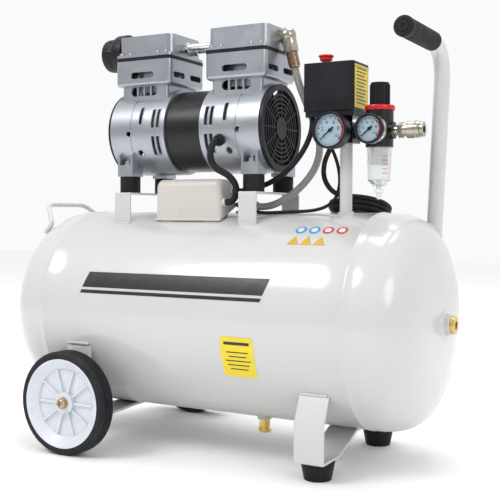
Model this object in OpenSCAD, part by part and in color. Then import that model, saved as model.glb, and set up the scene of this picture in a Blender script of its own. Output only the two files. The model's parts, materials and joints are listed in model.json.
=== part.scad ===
// Portable oil-free air compressor on a horizontal air tank.
// X runs along the tank, +X towards the push handle. -Y is the front, +Z is up.
// The origin is on the floor, under the middle of the tank.

/* [Tank] */
// Outer radius of the air tank
tank_r = 155; // [150:1:160]
// Half the length of the straight barrel
barrel_half = 250; // [245:1:255]
// Depth of each domed end
head_depth = 89; // [80:1:95]
// Squareness of the domed ends
head_power = 3.2; // [2.8:0.1:3.6]
// Wall thickness of the tank
tank_wall = 3; // [2:0.5:4]
// Height of the tank's axis above the floor
tank_z = 208; // [204:1:212]

/* [Wheels and feet] */
// Radius of the wheels
wheel_r = 77.5; // [74:0.5:80]
// Width of the tyres
wheel_w = 30; // [26:1:32]
// Radius of the white rim at the wheel's face
rim_r = 66.5; // [64:0.5:68]
// Distance of the wheels from the middle of the tank
wheel_x = 183; // [178:1:188]
// Distance of the wheels' outer faces from the middle plane
wheel_face_y = 192; // [190:1:196]
// Number of ribs in a rim
rim_ribs = 10; // [8:1:12]
// Radius of the axle bolts
axle_r = 6; // [5:0.5:6]
// Distance of the rubber feet from the middle of the tank
foot_x = 200; // [190:1:205]
// Distance of the rubber feet from the middle plane
foot_y = 113; // [105:1:116]
// Height of the rubber feet
foot_h = 26; // [22:1:28]
// Thickness of the bent steel straps
strap_t = 4; // [3:0.5:5]

/* [Pump] */
// Position of the pump's middle along the tank
pump_x = -53; // [-56:1:-50]
// Height of the motor's axis
motor_z = 490; // [486:1:494]
// Outer radius of the black motor shell
shell_r = 63.5; // [60:0.5:65]
// Half the length of the motor shell
shell_half = 32; // [30:1:34]
// Outer radius of the crankcase barrels
case_r = 67.5; // [66:0.5:70]
// Distance of the crankcases' open ends from the pump's middle
case_end = 133; // [132:1:135]
// Distance of the cylinders from the pump's middle
cylinder_u = 83.5; // [82:0.5:85]
// Throw of the crank eccentrics
crank_throw = 7; // [5:0.5:7]
// Bore radius of the cylinders
cylinder_r = 31.5; // [31:0.5:33]
// Distance of the rubber mounts from the pump's middle
mount_u = 112; // [110:1:114]
// Shift of the rubber mounts towards the push handle
mount_shift = 4; // [2:0.5:5]
// Distance of the rubber mounts from the middle plane
mount_v = 48; // [44:1:52]
// Radius of the rubber mounts
mount_r = 16; // [14:0.5:17]

/* [Controls] */
// Position of the riser post along the tank
post_x = 198; // [192:1:202]
// Distance of the controls' middle plane from the tank's axis
controls_y = -18; // [-22:1:-14]
// Height of the air line through the manifold, regulator and coupler
line_z = 478; // [474:1:482]
// Position of the regulator along the tank
regulator_x = 248; // [244:1:252]
// Radius of the tank gauge
tank_gauge_r = 25; // [23:0.5:26]
// Radius of the line gauge
line_gauge_r = 20; // [19:0.5:21]
// Angle of a pointer at zero pressure
pointer_rest = 220; // [210:1:225]
// Travel of the switch knob
knob_travel = 4; // [4:0.5:6]
// Radius of the coupler's outlet bore
outlet_r = 5; // [4:0.5:5.5]

/* [Handles and cord] */
// Radius of the push handle's tube
handle_r = 11.5; // [11:0.5:13]
// Lean of the push handle
handle_lean = 2.3; // [0:0.1:4]
// Height of the grip's axis
grip_z = 602; // [590:1:610]
// Length of the grip
grip_len = 120; // [110:1:125]
// Diameter of the mains cord
cord_d = 7.5; // [7:0.5:8]
// Middle radius of the cord's coil
coil_r = 40; // [38:1:42]

/* [Hidden] */
$fn = 64;

tank_top = tank_z + tank_r;
tank_bottom = tank_z - tank_r;
running_gap = 0.05;
loose_gap = 0.3;

// Ports of the tank
bung_r = 15;
end_bung_out = 11;
drain_x = 58;
drain_bung_r = 11;
check_x = 22;
check_bung_h = 2.5;

// Straps
strap_w = 44;
wheel_strap_y = 148;
foot_strap_y = 142;

// Pump, in distances u from its middle and w above the motor's axis
case_wall = 3.5;
web_t = 6;
boss_len = 16;
bearing_r = 20;
shaft_r = 8.5;
shaft_half = 127;
mount_xs = [pump_x + mount_shift - mount_u, pump_x + mount_shift + mount_u];
box_half_u = 52;
box_half_v = 51;
box_wall = 4;
neck_half_u = 43;
neck_half_v = 45;
neck_bottom = 30;
box_bottom = 72;
box_top = 111.5;
plate_top = 117;
flange_top = 121.5;
cover_top = 151;
cover_half_u = 51;
cover_half_v = 44;
liner_wall = 2.5;
liner_bottom = 62;
boss_wall = 3.5;
head_line_w = 132;
saddle_top = 393.5;
saddle_t = 3;
saddle_w = 30;
saddle_shift = 2;
saddle_half_v = 72;
rod_w = 16;
eccentric_r = 17;
fan_r = 52;
guard_r = 66;
guard_t = 5;

// Capacitor box: its section in Y-Z, and its two rounded edges as Y, Z and radius
box_x0 = -100;
box_len = 117;
box_wall_t = 2.5;
box_foot_y = -40;
box_section = [[-67, 350], [-67, 401], [-55, 413], [-37, 413], [-29.7, 408.3], [-14, 373.5]];
box_corners = [[-55, 401, 12], [-37, 405, 8]];
lead_ports = [[-56, 378], [-34, 395]];
lead_hole_r = 6;

// Controls
manifold_half = 15;
manifold_bottom = 462;
manifold_top = 491;
switch_x0 = 138;
switch_x1 = 216;
switch_y0 = -39;
switch_y1 = 22;
switch_bottom = 500;
switch_top = 577;
knob_x = 165;
gauge_face_y = -60;
tank_gauge_x = 189;
gauge_dish = 4.5;
regulator_r = 19.5;
regulator_top = 507;
regulator_bottom = 455;
bonnet_r = 10;
bowl_bottom = 400;
coupler_end = 313;
sleeve_r = 12;
coupler_r = 9.5;

// Push handle
handle_bend = 50;
handle_y = 60;
handle_foot_x = 303;
handle_foot_z = 300;
grip_start = 4;

// Delivery hose, from the elbow's ferrule to the check valve
elbow_x = 94;
elbow_z = 628;
elbow_tilt = 14;
ferrule_end = 50;
hose_r = 5.5;
hose_z = 372;
hose_end_x = 46;
hose_route = [
    [113, 2.5, 552], [118.5, 9, 532], [124.5, 16, 512], [130.5, 23, 492], [134, 27.5, 472],
    [134, 28, 452], [129, 24.5, 431.5], [118, 18, 411.5], [102, 11, 394], [85, 5.2, 381.8],
    [70, 1.8, 374.8], [58, 0.3, 372.2]];

// Unloader tube, from the check valve to the pressure switch
unloader_r = 2.5;
unloader_route = [
    [22, -13, 376], [22, -20, 376], [24, -29.5, 375.3], [29.5, -37.5, 373.5], [37.7, -42.5, 370.5],
    [47.5, -43.5, 367.5], [60, -41, 364.5], [76, -36.5, 362.5], [100, -29, 363.3], [130, -23, 364.6],
    [150, -16.5, 367], [165, -10, 373], [175, -5, 383.5], [180, -3, 398], [181, -3, 416],
    [177.5, -5, 437], [170, -8, 458], [162.5, -11, 477], [158.5, -12, 491], [158, -12, 500]];

// Cable from the motor to the capacitor box
motor_lead_r = 5;
switch_lead_r = 4;
motor_lead_route = [
    [14, -60, 470], [14, -67, 470], [14, -76.2, 468.2], [14, -84, 463], [14, -89.2, 455.2],
    [14, -91, 446], [15.9, -90.2, 436.1], [21.4, -87.6, 427.7], [29.5, -83.6, 422], [36.5, -78.7, 417],
    [41.3, -72.5, 409.7], [43, -66.6, 401.1], [41.3, -62, 392.2], [36.8, -58.7, 384.3],
    [29.3, -56.6, 379.1], [20, -56, 378]];
// Cable from the pressure switch to the capacitor box
switch_lead_route = [
    [148, -28, 500], [148, -28, 488], [145.5, -30.5, 473], [138, -33.5, 455], [124, -34.5, 436],
    [104, -31.5, 420], [82, -27.5, 408.5], [62, -25, 401.8], [46, -27, 398], [34, -31.2, 395.6],
    [26, -33.6, 395], [20, -34, 395]];

// Mains cord, from the pressure switch to its coil, and from the coil to its plug
cord_r = cord_d / 2;
gland_x = 172;
gland_y = -2;
mains_route = [
    [172, -2, 492], [172, -2, 484], [169.3, -0.8, 467.7], [161.5, 2.5, 453.5], [153.7, 5.8, 439.3],
    [151, 7, 423], [153.7, 8.5, 409.2], [161.5, 10.2, 397.5], [173.2, 11.8, 389.7], [187, 12.3, 387]];
coil_x = 191;
coil_lean = 18;
coil_half_w = 7.6;
coil_half_h = 11.3;
plug_x = 40;
plug_lean = 41;
plug_r = 16;
tail_route = [
    [4, 36.5, 10], [-10, 37.5, 14.5], [-24, 41.5, 16], [-40, 47.5, 13.5], [-56, 54.5, 7.5],
    [-72, 61, 0], [-87, 65.5, -5.5], [-100, 67.2, -8.4], [-110, 67.5, -8.8]];

// ---- helpers -------------------------------------------------------------

// Turns a shape that stands along Z so that it lies along +X
module along_x(at) {
    translate(at) rotate([0, 90, 0]) children();
}

// Turns a shape that stands along Z so that it points to the back
module along_y(at) {
    translate(at) rotate([-90, 0, 0]) children();
}

// Moves to the pump's own frame
module at_pump() {
    translate([pump_x, 0, motor_z]) children();
}

// Draws a piece of the right-hand pump and its mirror image on the left
module both_pumps() {
    at_pump() {
        children();
        mirror([1, 0, 0]) children();
    }
}

// Draws a piece at the front and its mirror image at the back
module front_and_back() {
    children();
    mirror([0, 1, 0]) children();
}

// Draws a piece at the right end of the tank and its mirror image at the left
module both_ends() {
    children();
    mirror([1, 0, 0]) children();
}

// A rectangle with round corners
module rounded_rect(w, d, r) {
    square([w - 2 * r, d], center = true);
    square([w, d - 2 * r], center = true);
    for (x = [-1, 1], y = [-1, 1])
        translate([x * (w / 2 - r), y * (d / 2 - r)]) circle(r, $fn = 24);
}

// A block with round upright edges, from height z0 to z1
module rounded_block(w, d, r, z0, z1) {
    translate([0, 0, z0]) linear_extrude(z1 - z0) rounded_rect(w, d, r);
}

// A slot with round ends, centred, cut along Y through both sides
module slot_y(w, h, reach) {
    rotate([90, 0, 0]) linear_extrude(2 * reach, center = true) {
        square([w - h, h], center = true);
        for (x = [-1, 1]) translate([x * (w - h) / 2, 0]) circle(h / 2, $fn = 24);
    }
}

// A strap that follows points in the Y-Z plane, square to X
module strap(points, w, t) {
    rotate([90, 0, 90]) linear_extrude(w, center = true) {
        for (i = [0 : len(points) - 2]) {
            a = points[i];
            d = points[i + 1] - a;
            translate(a) rotate(atan2(d[1], d[0])) translate([0, -t / 2]) square([norm(d), t]);
        }
        for (i = [1 : len(points) - 2]) translate(points[i]) circle(t / 2, $fn = 24);
    }
}

// A point on the smooth curve from b to c, with neighbours a and d
function curve_point(a, b, c, d, t) =
    0.5 * (2 * b + (c - a) * t + (2 * a - 5 * b + 4 * c - d) * t * t
        + (3 * b - a - 3 * c + d) * t * t * t);

// A smooth curve through points, with steps parts between each pair
function smooth(points, steps) = concat(
    [for (i = [0 : len(points) - 2], k = [0 : steps - 1])
        curve_point(points[max(i - 1, 0)], points[i], points[i + 1],
            points[min(i + 2, len(points) - 1)], k / steps)],
    [points[len(points) - 1]]);

function unit(v) = v / norm(v);

// The direction of a curve at its point i
function heading(path, i) = unit(path[min(i + 1, len(path) - 1)] - path[max(i - 1, 0)]);

// A tube swept along a smooth curve; side is a direction that the curve never takes
module swept_tube(points, r, sides, steps, side) {
    path = smooth(points, steps);
    rings = len(path);
    corners = [for (i = [0 : rings - 1], k = [0 : sides - 1])
        let (h = heading(path, i), a = unit(cross(h, side)), b = cross(h, a), t = 360 * k / sides)
        path[i] + r * (cos(t) * a + sin(t) * b)];
    walls = [for (i = [0 : rings - 2], k = [0 : sides - 1])
        let (n = (k + 1) % sides)
        [i * sides + n, i * sides + k, (i + 1) * sides + k, (i + 1) * sides + n]];
    first = [for (k = [0 : sides - 1]) k];
    last = [for (k = [0 : sides - 1]) rings * sides - 1 - k];
    polyhedron(corners, concat([first, last], walls));
}

// Outline of a domed end, as radius and distance from the barrel
function dome(r, depth) = [for (i = [0 : 24])
    let (a = 90 * i / 24, s = pow(sin(a), 2 / head_power), c = pow(max(cos(a), 0), 2 / head_power))
    [r * c, depth * s]];

// The solid that a domed tank fills
module tank_solid(r, depth) {
    along_x([-barrel_half, 0, tank_z]) cylinder(2 * barrel_half, r = r, $fn = 128);
    both_ends() along_x([barrel_half, 0, tank_z])
        rotate_extrude($fn = 128) polygon(concat([[0, 0]], dome(r, depth)));
}

// ---- tank ----------------------------------------------------------------

module tank_barrel() {
    color("whitesmoke") difference() {
        along_x([-barrel_half, 0, tank_z]) difference() {
            cylinder(2 * barrel_half, r = tank_r, $fn = 128);
            translate([0, 0, -1]) cylinder(2 * barrel_half + 2, r = tank_r - tank_wall, $fn = 128);
        }
        translate([drain_x, 0, tank_bottom - 5]) cylinder(20, r = drain_bung_r);
        translate([check_x, 0, tank_top - 15]) cylinder(20, r = bung_r);
    }
}

module tank_heads() {
    color("whitesmoke") both_ends() along_x([barrel_half, 0, tank_z]) difference() {
        rotate_extrude($fn = 128) difference() {
            polygon(concat([[0, 0]], dome(tank_r, head_depth)));
            polygon(concat([[0, -1]], dome(tank_r - tank_wall, head_depth - tank_wall), [[0, -1]]));
        }
        translate([0, 0, head_depth - 20]) cylinder(40, r = bung_r);
        translate([0, 0, -1]) cylinder(1, r = tank_r + 1);
    }
}

// Threaded ring welded into a wall, standing on its inner end
module bung(h, r, bore) {
    difference() {
        cylinder(h, r = r);
        translate([0, 0, -1]) cylinder(h + 2, r = bore);
    }
}

module tank_bungs() {
    color("whitesmoke") {
        both_ends() along_x([barrel_half + head_depth - 8, 0, tank_z]) bung(8 + end_bung_out, bung_r, 9.5);
        translate([drain_x, 0, tank_bottom - 7]) bung(14, drain_bung_r, 6);
        translate([check_x, 0, tank_top - 7]) bung(7 + check_bung_h, bung_r, 7);
    }
}

module end_plugs() {
    plug_x = barrel_half + head_depth + end_bung_out;
    color("goldenrod") both_ends() {
        along_x([plug_x - 14, 0, tank_z]) cylinder(14, r = 9.5);
        along_x([plug_x, 0, tank_z]) cylinder(6, r = 12.5, $fn = 6);
    }
}

module drain_valve() {
    color("goldenrod") difference() {
        union() {
            translate([drain_x, 0, tank_bottom - 7]) cylinder(9, r = 6);
            translate([drain_x, 0, tank_bottom - 19]) cylinder(12, r = 9, $fn = 6);
        }
        translate([drain_x, 0, tank_bottom - 20]) cylinder(30, r = 3);
    }
}

module drain_screw() {
    color("gold") {
        translate([drain_x, 0, tank_bottom - 19 - loose_gap]) mirror([0, 0, 1]) cylinder(8, r = 7);
        translate([drain_x, 0, tank_bottom - 21]) cylinder(16, r = 3 - running_gap);
        translate([drain_x - 11, -1.5, tank_bottom - 27]) cube([22, 3, 6]);
    }
}

// ---- handles ---------------------------------------------------------------

// A round bar up, round a corner of radius bend, and forwards
module quarter_bar(r, rise, bend, forward) {
    cylinder(rise, r = r);
    translate([0, -bend, rise]) rotate([0, 0, 90]) rotate([90, 0, 0])
        rotate_extrude(angle = 90, $fn = 96) translate([bend, 0]) circle(r);
    translate([0, -bend, rise + bend]) rotate([90, 0, 0]) cylinder(forward, r = r);
}

// A round bar from one point to another, with a ball end at the first
module bar(from, to, r) {
    d = to - from;
    translate(from) {
        rotate([0, acos(d[2] / norm(d)), atan2(d[1], d[0])]) cylinder(norm(d), r = r);
        sphere(r + 0.3);
    }
}

// Bar of the handle at the left end, whose feet lie on the tank's shoulder
module carry_handle() {
    bar_r = 4;
    corner = [-331, 48, 375];
    knee = [-299.4, 74.6, 342.3];
    tip = [-318.3, 68.1, 329.9];
    color("whitesmoke") {
        translate(corner) rotate([90, 0, 0]) cylinder(2 * corner[1], r = bar_r);
        front_and_back() {
            bar(corner, knee, bar_r);
            bar(knee, tip, bar_r);
        }
    }
}

// Moves to the push handle's own frame, which leans outwards
module at_handle() {
    translate([handle_foot_x, handle_y, handle_foot_z]) rotate([0, handle_lean, 0]) children();
}

handle_rise = grip_z - handle_foot_z - handle_bend;

module push_handle() {
    color("whitesmoke") difference() {
        at_handle() quarter_bar(handle_r, handle_rise, handle_bend, grip_start + grip_len - 6);
        at_handle() quarter_bar(handle_r - 1.5, handle_rise, handle_bend, grip_start + grip_len);
        tank_solid(tank_r, head_depth);
    }
}

module handle_grip() {
    color("dimgray") at_handle() translate([0, -handle_bend - grip_start, handle_rise + handle_bend])
        rotate([90, 0, 0]) rotate_extrude($fn = 96) polygon([[handle_r, 0], [handle_r + 2, 0], [handle_r + 2.5, 1],
            [handle_r + 2.5, grip_len - 3], [handle_r, grip_len], [0, grip_len], [0, grip_len - 6],
            [handle_r, grip_len - 6]]);
}

// ---- wheels and feet -------------------------------------------------------

module wheel_bracket() {
    half = [[36, 52], [140, 46], [wheel_strap_y, 52], [wheel_strap_y, 160]];
    color("whitesmoke") difference() {
        translate([-wheel_x, 0, 0]) strap(mirrored_outline(half), strap_w, strap_t);
        tank_solid(tank_r, head_depth);
        front_and_back() along_y([-wheel_x, wheel_strap_y - 5, wheel_r]) cylinder(10, r = axle_r);
    }
}

// An outline in the Y-Z plane, from the back end to the front end
function mirrored_outline(half) = concat(
    [for (i = [len(half) - 1 : -1 : 0]) [-half[i][0], half[i][1]]], half);

module foot_bracket() {
    flange_z = foot_h + strap_t / 2;
    half = [[27, 52], [88, flange_z], [foot_strap_y, flange_z], [foot_strap_y, 80], [120, 126]];
    color("whitesmoke") difference() {
        translate([foot_x, 0, 0]) strap(mirrored_outline(half), strap_w, strap_t);
        tank_solid(tank_r, head_depth);
    }
}

module rubber_feet() {
    color("dimgray") front_and_back() translate([foot_x, foot_y, 0])
        rotate_extrude() polygon([[0, 0], [18, 0], [19, 1], [24, foot_h], [0, foot_h]]);
}

// Bolt, washer, spacer and nut of one wheel
module axle_bolt() {
    hub_out = wheel_face_y - 6;
    plate_out = wheel_strap_y + strap_t / 2;
    plate_in = wheel_strap_y - strap_t / 2;
    hub_in = wheel_face_y - wheel_w;
    along_y([-wheel_x, plate_in - 9, wheel_r]) cylinder(hub_out + 3 - plate_in + 9, r = axle_r);
    along_y([-wheel_x, hub_out + loose_gap, wheel_r]) cylinder(2, r = 9);
    along_y([-wheel_x, hub_out + 2, wheel_r]) difference() {
        rotate_extrude() polygon([[0, 0], [7.6, 0], [7.6, 3.5], [6.9, 5.2], [5.4, 6.4], [3.2, 7], [0, 7]]);
        for (a = [0, 90]) rotate(a) translate([-4.5, -0.9, 3.5]) cube([9, 1.8, 4]);
    }
    along_y([-wheel_x, plate_out, wheel_r]) cylinder(hub_in - plate_out - loose_gap, r = 10);
    along_y([-wheel_x, plate_in - 7, wheel_r]) cylinder(7, r = 11, $fn = 6);
}

module axle_bolts() {
    color("goldenrod") front_and_back() axle_bolt();
}

// Rim standing on its inner face
module rim() {
    hub_h = wheel_w - 6;
    rotate_extrude($fn = 96) polygon([[axle_r + running_gap, 0], [16, 0], [16, 13], [50, 13], [61, 9], [61, 0],
        [rim_r, 0], [rim_r, wheel_w], [rim_r - 2, wheel_w], [51, 20], [50, 17], [16, 17], [16, hub_h],
        [axle_r + running_gap, hub_h]]);
    for (i = [0 : rim_ribs - 1]) rotate(360 * i / rim_ribs) translate([15, -1.5, 16]) cube([36, 3, 5]);
}

// Tyre with three grooves, standing on its inner face
module tyre() {
    groove = 1.5;
    rotate_extrude($fn = 96) difference() {
        polygon([[rim_r, 0], [wheel_r - 4, 0], [wheel_r, 4], [wheel_r, wheel_w - 4], [wheel_r - 4, wheel_w],
            [rim_r, wheel_w]]);
        for (i = [-1 : 1]) translate([wheel_r - groove, wheel_w / 2 + 6 * i - 1]) square([groove + 1, 2]);
    }
}

// Moves to the inner face of the back wheel
module at_wheel() {
    along_y([-wheel_x, wheel_face_y - wheel_w, wheel_r]) children();
}

module rear_wheel_rim() {
    color("white") at_wheel() rim();
}

module rear_wheel_tyre() {
    color("dimgray") at_wheel() tyre();
}

module front_wheel_rim() {
    color("white") mirror([0, 1, 0]) at_wheel() rim();
}

module front_wheel_tyre() {
    color("dimgray") mirror([0, 1, 0]) at_wheel() tyre();
}

// ---- pump ------------------------------------------------------------------

module motor_saddles() {
    leg = saddle_half_v - saddle_t / 2;
    half = [[leg, saddle_top - saddle_t / 2], [leg, 330]];
    color("whitesmoke") difference() {
        for (x = mount_xs) translate([x + saddle_shift, 0, 0])
            strap(mirrored_outline(half), saddle_w, saddle_t);
        tank_solid(tank_r, head_depth);
    }
}

module vibration_mounts() {
    top = motor_z - case_r - 3.5;
    color("dimgray") for (x = mount_xs) front_and_back() translate([x, mount_v, saddle_top])
        cylinder(top - saddle_top, r = mount_r);
}

module motor_shell() {
    color("dimgray") at_pump() along_x([-shell_half, 0, 0]) difference() {
        cylinder(2 * shell_half, r = shell_r);
        translate([0, 0, -1]) cylinder(2 * shell_half + 2, r = shell_r - 2);
    }
}

module stator() {
    core = 24;
    color("silver") at_pump() along_x([0, 0, 0]) difference() {
        union() {
            translate([0, 0, -core]) cylinder(2 * core, r = shell_r - 2);
            translate([0, 0, -core - 5]) cylinder(2 * core + 10, r = 55);
        }
        translate([0, 0, -core - 6]) cylinder(2 * core + 12, r = 36);
    }
}

module rotor_core() {
    color("silver") at_pump() along_x([-25, 0, 0]) difference() {
        cylinder(50, r = 35.5);
        translate([0, 0, -1]) cylinder(52, r = shaft_r);
    }
}

module motor_shaft() {
    color("silver") at_pump() along_x([-shaft_half, 0, 0]) cylinder(2 * shaft_half, r = shaft_r);
}

module shaft_bearings() {
    color("silver") both_pumps() along_x([shell_half + 2, 0, 0]) difference() {
        cylinder(12, r = bearing_r);
        translate([0, 0, -1]) cylinder(14, r = shaft_r + running_gap);
    }
}

// One crank: an eccentric boss and its counterweight, with the throw along +Z
module crank() {
    difference() {
        union() {
            along_x([cylinder_u - rod_w / 2 - 1, 0, crank_throw]) cylinder(rod_w + 2, r = eccentric_r);
            along_x([cylinder_u + rod_w / 2 + 1, 0, 0]) intersection() {
                cylinder(6, r = 38);
                translate([8, 0, 3]) cube([40, 60, 8], center = true);
            }
        }
        along_x([cylinder_u - rod_w, 0, 0]) cylinder(2 * rod_w, r = shaft_r);
    }
}

// The left crank starts at the top of its turn and the right one at the bottom
module crank_eccentrics() {
    color("gray") at_pump() {
        mirror([1, 0, 0]) crank();
        mirror([0, 0, 1]) crank();
    }
}

module cooling_fans() {
    blades = 10;
    fan_t = 12;
    color("dimgray") both_pumps() along_x([shaft_half - fan_t, 0, 0]) difference() {
        union() {
            cylinder(fan_t, r = 14);
            for (i = [0 : blades - 1]) rotate(360 * i / blades)
                translate([32, 0, fan_t / 2]) rotate([30, 0, 0]) cube([40, 20, 1.8], center = true);
        }
        translate([0, 0, -1]) cylinder(fan_t + 2, r = shaft_r);
    }
}

// Four upright slots in a stadium outline, for the neck's front and back
module neck_vent() {
    vent_w = 50;
    vent_h = 15;
    rotate([90, 0, 0]) linear_extrude(2 * neck_half_v + 10, center = true) difference() {
        union() {
            square([vent_w - vent_h, vent_h], center = true);
            for (x = [-1, 1]) translate([x * (vent_w - vent_h) / 2, 0]) circle(vent_h / 2, $fn = 24);
        }
        for (x = [-1 : 1]) translate([12.5 * x, 0]) square([3, vent_h + 2], center = true);
    }
}

// Openings in the barrel's front and back
module barrel_openings() {
    for (u = [43.5, 52.5], w = [17, -24]) translate([u, 0, w]) cube([5, 160, 28], center = true);
    translate([76, 0, 22]) cube([5, 160, 26], center = true);
    translate([98, 0, -5]) rotate([90, 0, 0]) cylinder(160, r = 4.2, center = true);
    translate([80, 0, -35]) rotate([90, 0, 0]) cylinder(160, r = 4.6, center = true);
}

// foot_u is the distance of the crankcase's feet from the pump's middle
module crankcase(foot_u) {
    inner_v = neck_half_v - box_wall;
    inner_u = neck_half_u - box_wall;
    liner_out = cylinder_r + liner_wall;
    difference() {
        union() {
            along_x([shell_half, 0, 0]) difference() {
                cylinder(case_end - shell_half, r = case_r);
                translate([0, 0, 62]) difference() {
                    cylinder(1, r = case_r + 2);
                    translate([0, 0, -1]) cylinder(3, r = case_r - 0.8);
                }
            }
            translate([cylinder_u, 0, 0]) rounded_block(2 * neck_half_u, 2 * neck_half_v, 6, neck_bottom, box_bottom + 1);
            translate([cylinder_u, 0, 0]) rounded_block(2 * box_half_u, 2 * box_half_v, 8, box_bottom, box_top);
            front_and_back() translate([foot_u - 14, mount_v - 14, -case_r - 3.5]) {
                cube([28, 28, 18]);
                for (u = [0, 24]) translate([u, 0, 0]) cube([4, 28, 34]);
            }
        }
        along_x([shell_half + web_t, 0, 0]) cylinder(case_end, r = case_r - case_wall);
        translate([cylinder_u, 0, 0]) rounded_block(2 * inner_u, 2 * inner_v, 3, 0, box_bottom);
        translate([cylinder_u, 0, 0])
            rounded_block(2 * (box_half_u - box_wall), 2 * (box_half_v - box_wall), 5, box_bottom + 4, box_top + 1);
        translate([cylinder_u, 0, box_bottom - 1]) cylinder(10, r = liner_out);
        along_x([shell_half - 1, 0, 0]) cylinder(web_t + 2, r = bearing_r);
        barrel_openings();
        translate([cylinder_u, 0, 63.5]) neck_vent();
        translate([cylinder_u, 0, 88]) slot_y(43, 10, box_half_v + 5);
        for (v = [-24, 24]) translate([cylinder_u, v, 88]) rotate(90) slot_y(32, 9, box_half_u + 5);
    }
    along_x([shell_half + web_t - 1, 0, 0]) difference() {
        cylinder(boss_len - web_t, r = bearing_r + 5);
        translate([0, 0, -1]) cylinder(boss_len, r = bearing_r);
    }
    translate([cylinder_u, 0, liner_bottom]) difference() {
        cylinder(box_top - liner_bottom, r = liner_out + boss_wall);
        translate([0, 0, -1]) cylinder(box_top - liner_bottom + 2, r = liner_out);
    }
}

module left_crankcase() {
    color("silver") at_pump() mirror([1, 0, 0]) crankcase(mount_u - mount_shift);
}

// The right crankcase also has the hole for the motor's lead
module right_crankcase() {
    color("silver") at_pump() difference() {
        crankcase(mount_u + mount_shift);
        translate([67, -69, -20]) rotate([90, 0, 0]) cylinder(26, r = lead_hole_r, center = true);
    }
}

module fan_guards() {
    spokes = 12;
    color("dimgray") both_pumps() along_x([case_end, 0, 0]) {
        difference() {
            cylinder(guard_t, r = guard_r);
            translate([0, 0, -1]) cylinder(guard_t + 2, r = 57);
        }
        translate([0, 0, guard_t - 3]) {
            cylinder(2.5, r = 17);
            for (r = [24 : 6.5 : 50]) difference() {
                cylinder(2, r = r + 1);
                translate([0, 0, -1]) cylinder(4, r = r - 1);
            }
            for (i = [0 : spokes - 1]) rotate(360 * i / spokes) translate([12, -1, 0]) cube([47, 2, 2]);
        }
    }
}

module cylinder_liners() {
    color("silver") both_pumps() translate([cylinder_u, 0, liner_bottom]) difference() {
        cylinder(box_top - liner_bottom, r = cylinder_r + liner_wall);
        translate([0, 0, -1]) cylinder(box_top - liner_bottom + 2, r = cylinder_r);
    }
}

// Rod and rocking piston in one piece, with its big end at height w
module piston_rod(w) {
    disc_r = cylinder_r - crank_throw - 0.5;
    crown = box_top - 1 - crank_throw;
    big_r = eccentric_r + 6;
    difference() {
        union() {
            along_x([cylinder_u - rod_w / 2, 0, w]) cylinder(rod_w, r = big_r);
            translate([cylinder_u - 6, -7, w + eccentric_r + 2]) cube([12, 14, crown - eccentric_r - 9]);
            translate([cylinder_u, 0, w + crown - 8]) cylinder(8, r = disc_r);
        }
        along_x([cylinder_u - rod_w, 0, w]) cylinder(2 * rod_w, r = eccentric_r + running_gap);
    }
}

module left_piston_rod() {
    color("silver") at_pump() mirror([1, 0, 0]) piston_rod(crank_throw);
}

module right_piston_rod() {
    color("silver") at_pump() piston_rod(-crank_throw);
}

module valve_plates() {
    color("dimgray") both_pumps() translate([cylinder_u, 0, 0]) difference() {
        rounded_block(2 * box_half_u + 1, 2 * box_half_v + 1, 8, box_top, plate_top);
        for (v = [-14, 14]) translate([0, v, box_top - 1]) cylinder(10, r = 5);
    }
}

// A head cover, hollow, with a wall between its intake and delivery sides
module head_cover() {
    wall = 4;
    translate([cylinder_u, 0, 0]) {
        difference() {
            union() {
                rounded_block(2 * box_half_u, 2 * box_half_v, 8, plate_top, flange_top);
                rounded_block(2 * cover_half_u, 2 * cover_half_v, 12, plate_top, cover_top);
            }
            rounded_block(2 * (cover_half_u - wall), 2 * (cover_half_v - wall), 8, plate_top - 1, cover_top - wall);
        }
        translate([1 - cover_half_u, -1.5, plate_top]) cube([2 * cover_half_u - 2, 3, cover_top - plate_top - 2]);
    }
}

module head_covers() {
    color("silver") both_pumps() head_cover();
}

module head_screws() {
    head_h = 3;
    color("gray") both_pumps() translate([cylinder_u, 0, flange_top]) front_and_back()
        for (u = [-42, -26, 26, 42]) translate([u, (box_half_v + cover_half_v) / 2, 0]) cylinder(head_h, r = 3.2);
}

module intake_filter() {
    face = cylinder_u + cover_half_u;
    color("dimgray") at_pump() mirror([1, 0, 0]) {
        along_x([face, 0, head_line_w]) cylinder(7, r = 9);
        along_x([face + 6, 0, head_line_w]) cylinder(20, r = 32);
        along_x([face + 26, 0, head_line_w]) cylinder(24, r = 27);
    }
}

module crossover_pipe() {
    inner_face = cylinder_u - cover_half_u;
    color("lightgray") at_pump() for (v = [-12, 16]) {
        along_x([-inner_face, v, head_line_w]) cylinder(2 * inner_face, r = 5.5);
        for (s = [-1, 1]) along_x([s * (inner_face - 5.5), v, head_line_w])
            cylinder(11, r = 8.5, center = true, $fn = 6);
    }
}

module outlet_elbow() {
    face = pump_x + cylinder_u + cover_half_u;
    color("lightgray") {
        along_x([face, 0, elbow_z]) cylinder(elbow_x - face, r = 11);
        translate([elbow_x, 0, elbow_z]) {
            sphere(12.4);
            rotate([0, 180 - elbow_tilt, 0]) {
                cylinder(15, r = 11);
                translate([0, 0, 14]) cylinder(13, r = 12, $fn = 6);
                translate([0, 0, 26]) cylinder(ferrule_end - 26, r = 8);
            }
        }
    }
}

hose_start = [elbow_x + ferrule_end * sin(elbow_tilt), 0, elbow_z - ferrule_end * cos(elbow_tilt)];
hose_lead = hose_start + [10 * sin(elbow_tilt), 0, -10 * cos(elbow_tilt)];

module delivery_hose() {
    color("gray") swept_tube(concat([hose_start, hose_lead], hose_route,
        [[hose_end_x, 0, hose_z]]), hose_r, 12, 4, [0, 1, 0.2]);
}

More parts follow.
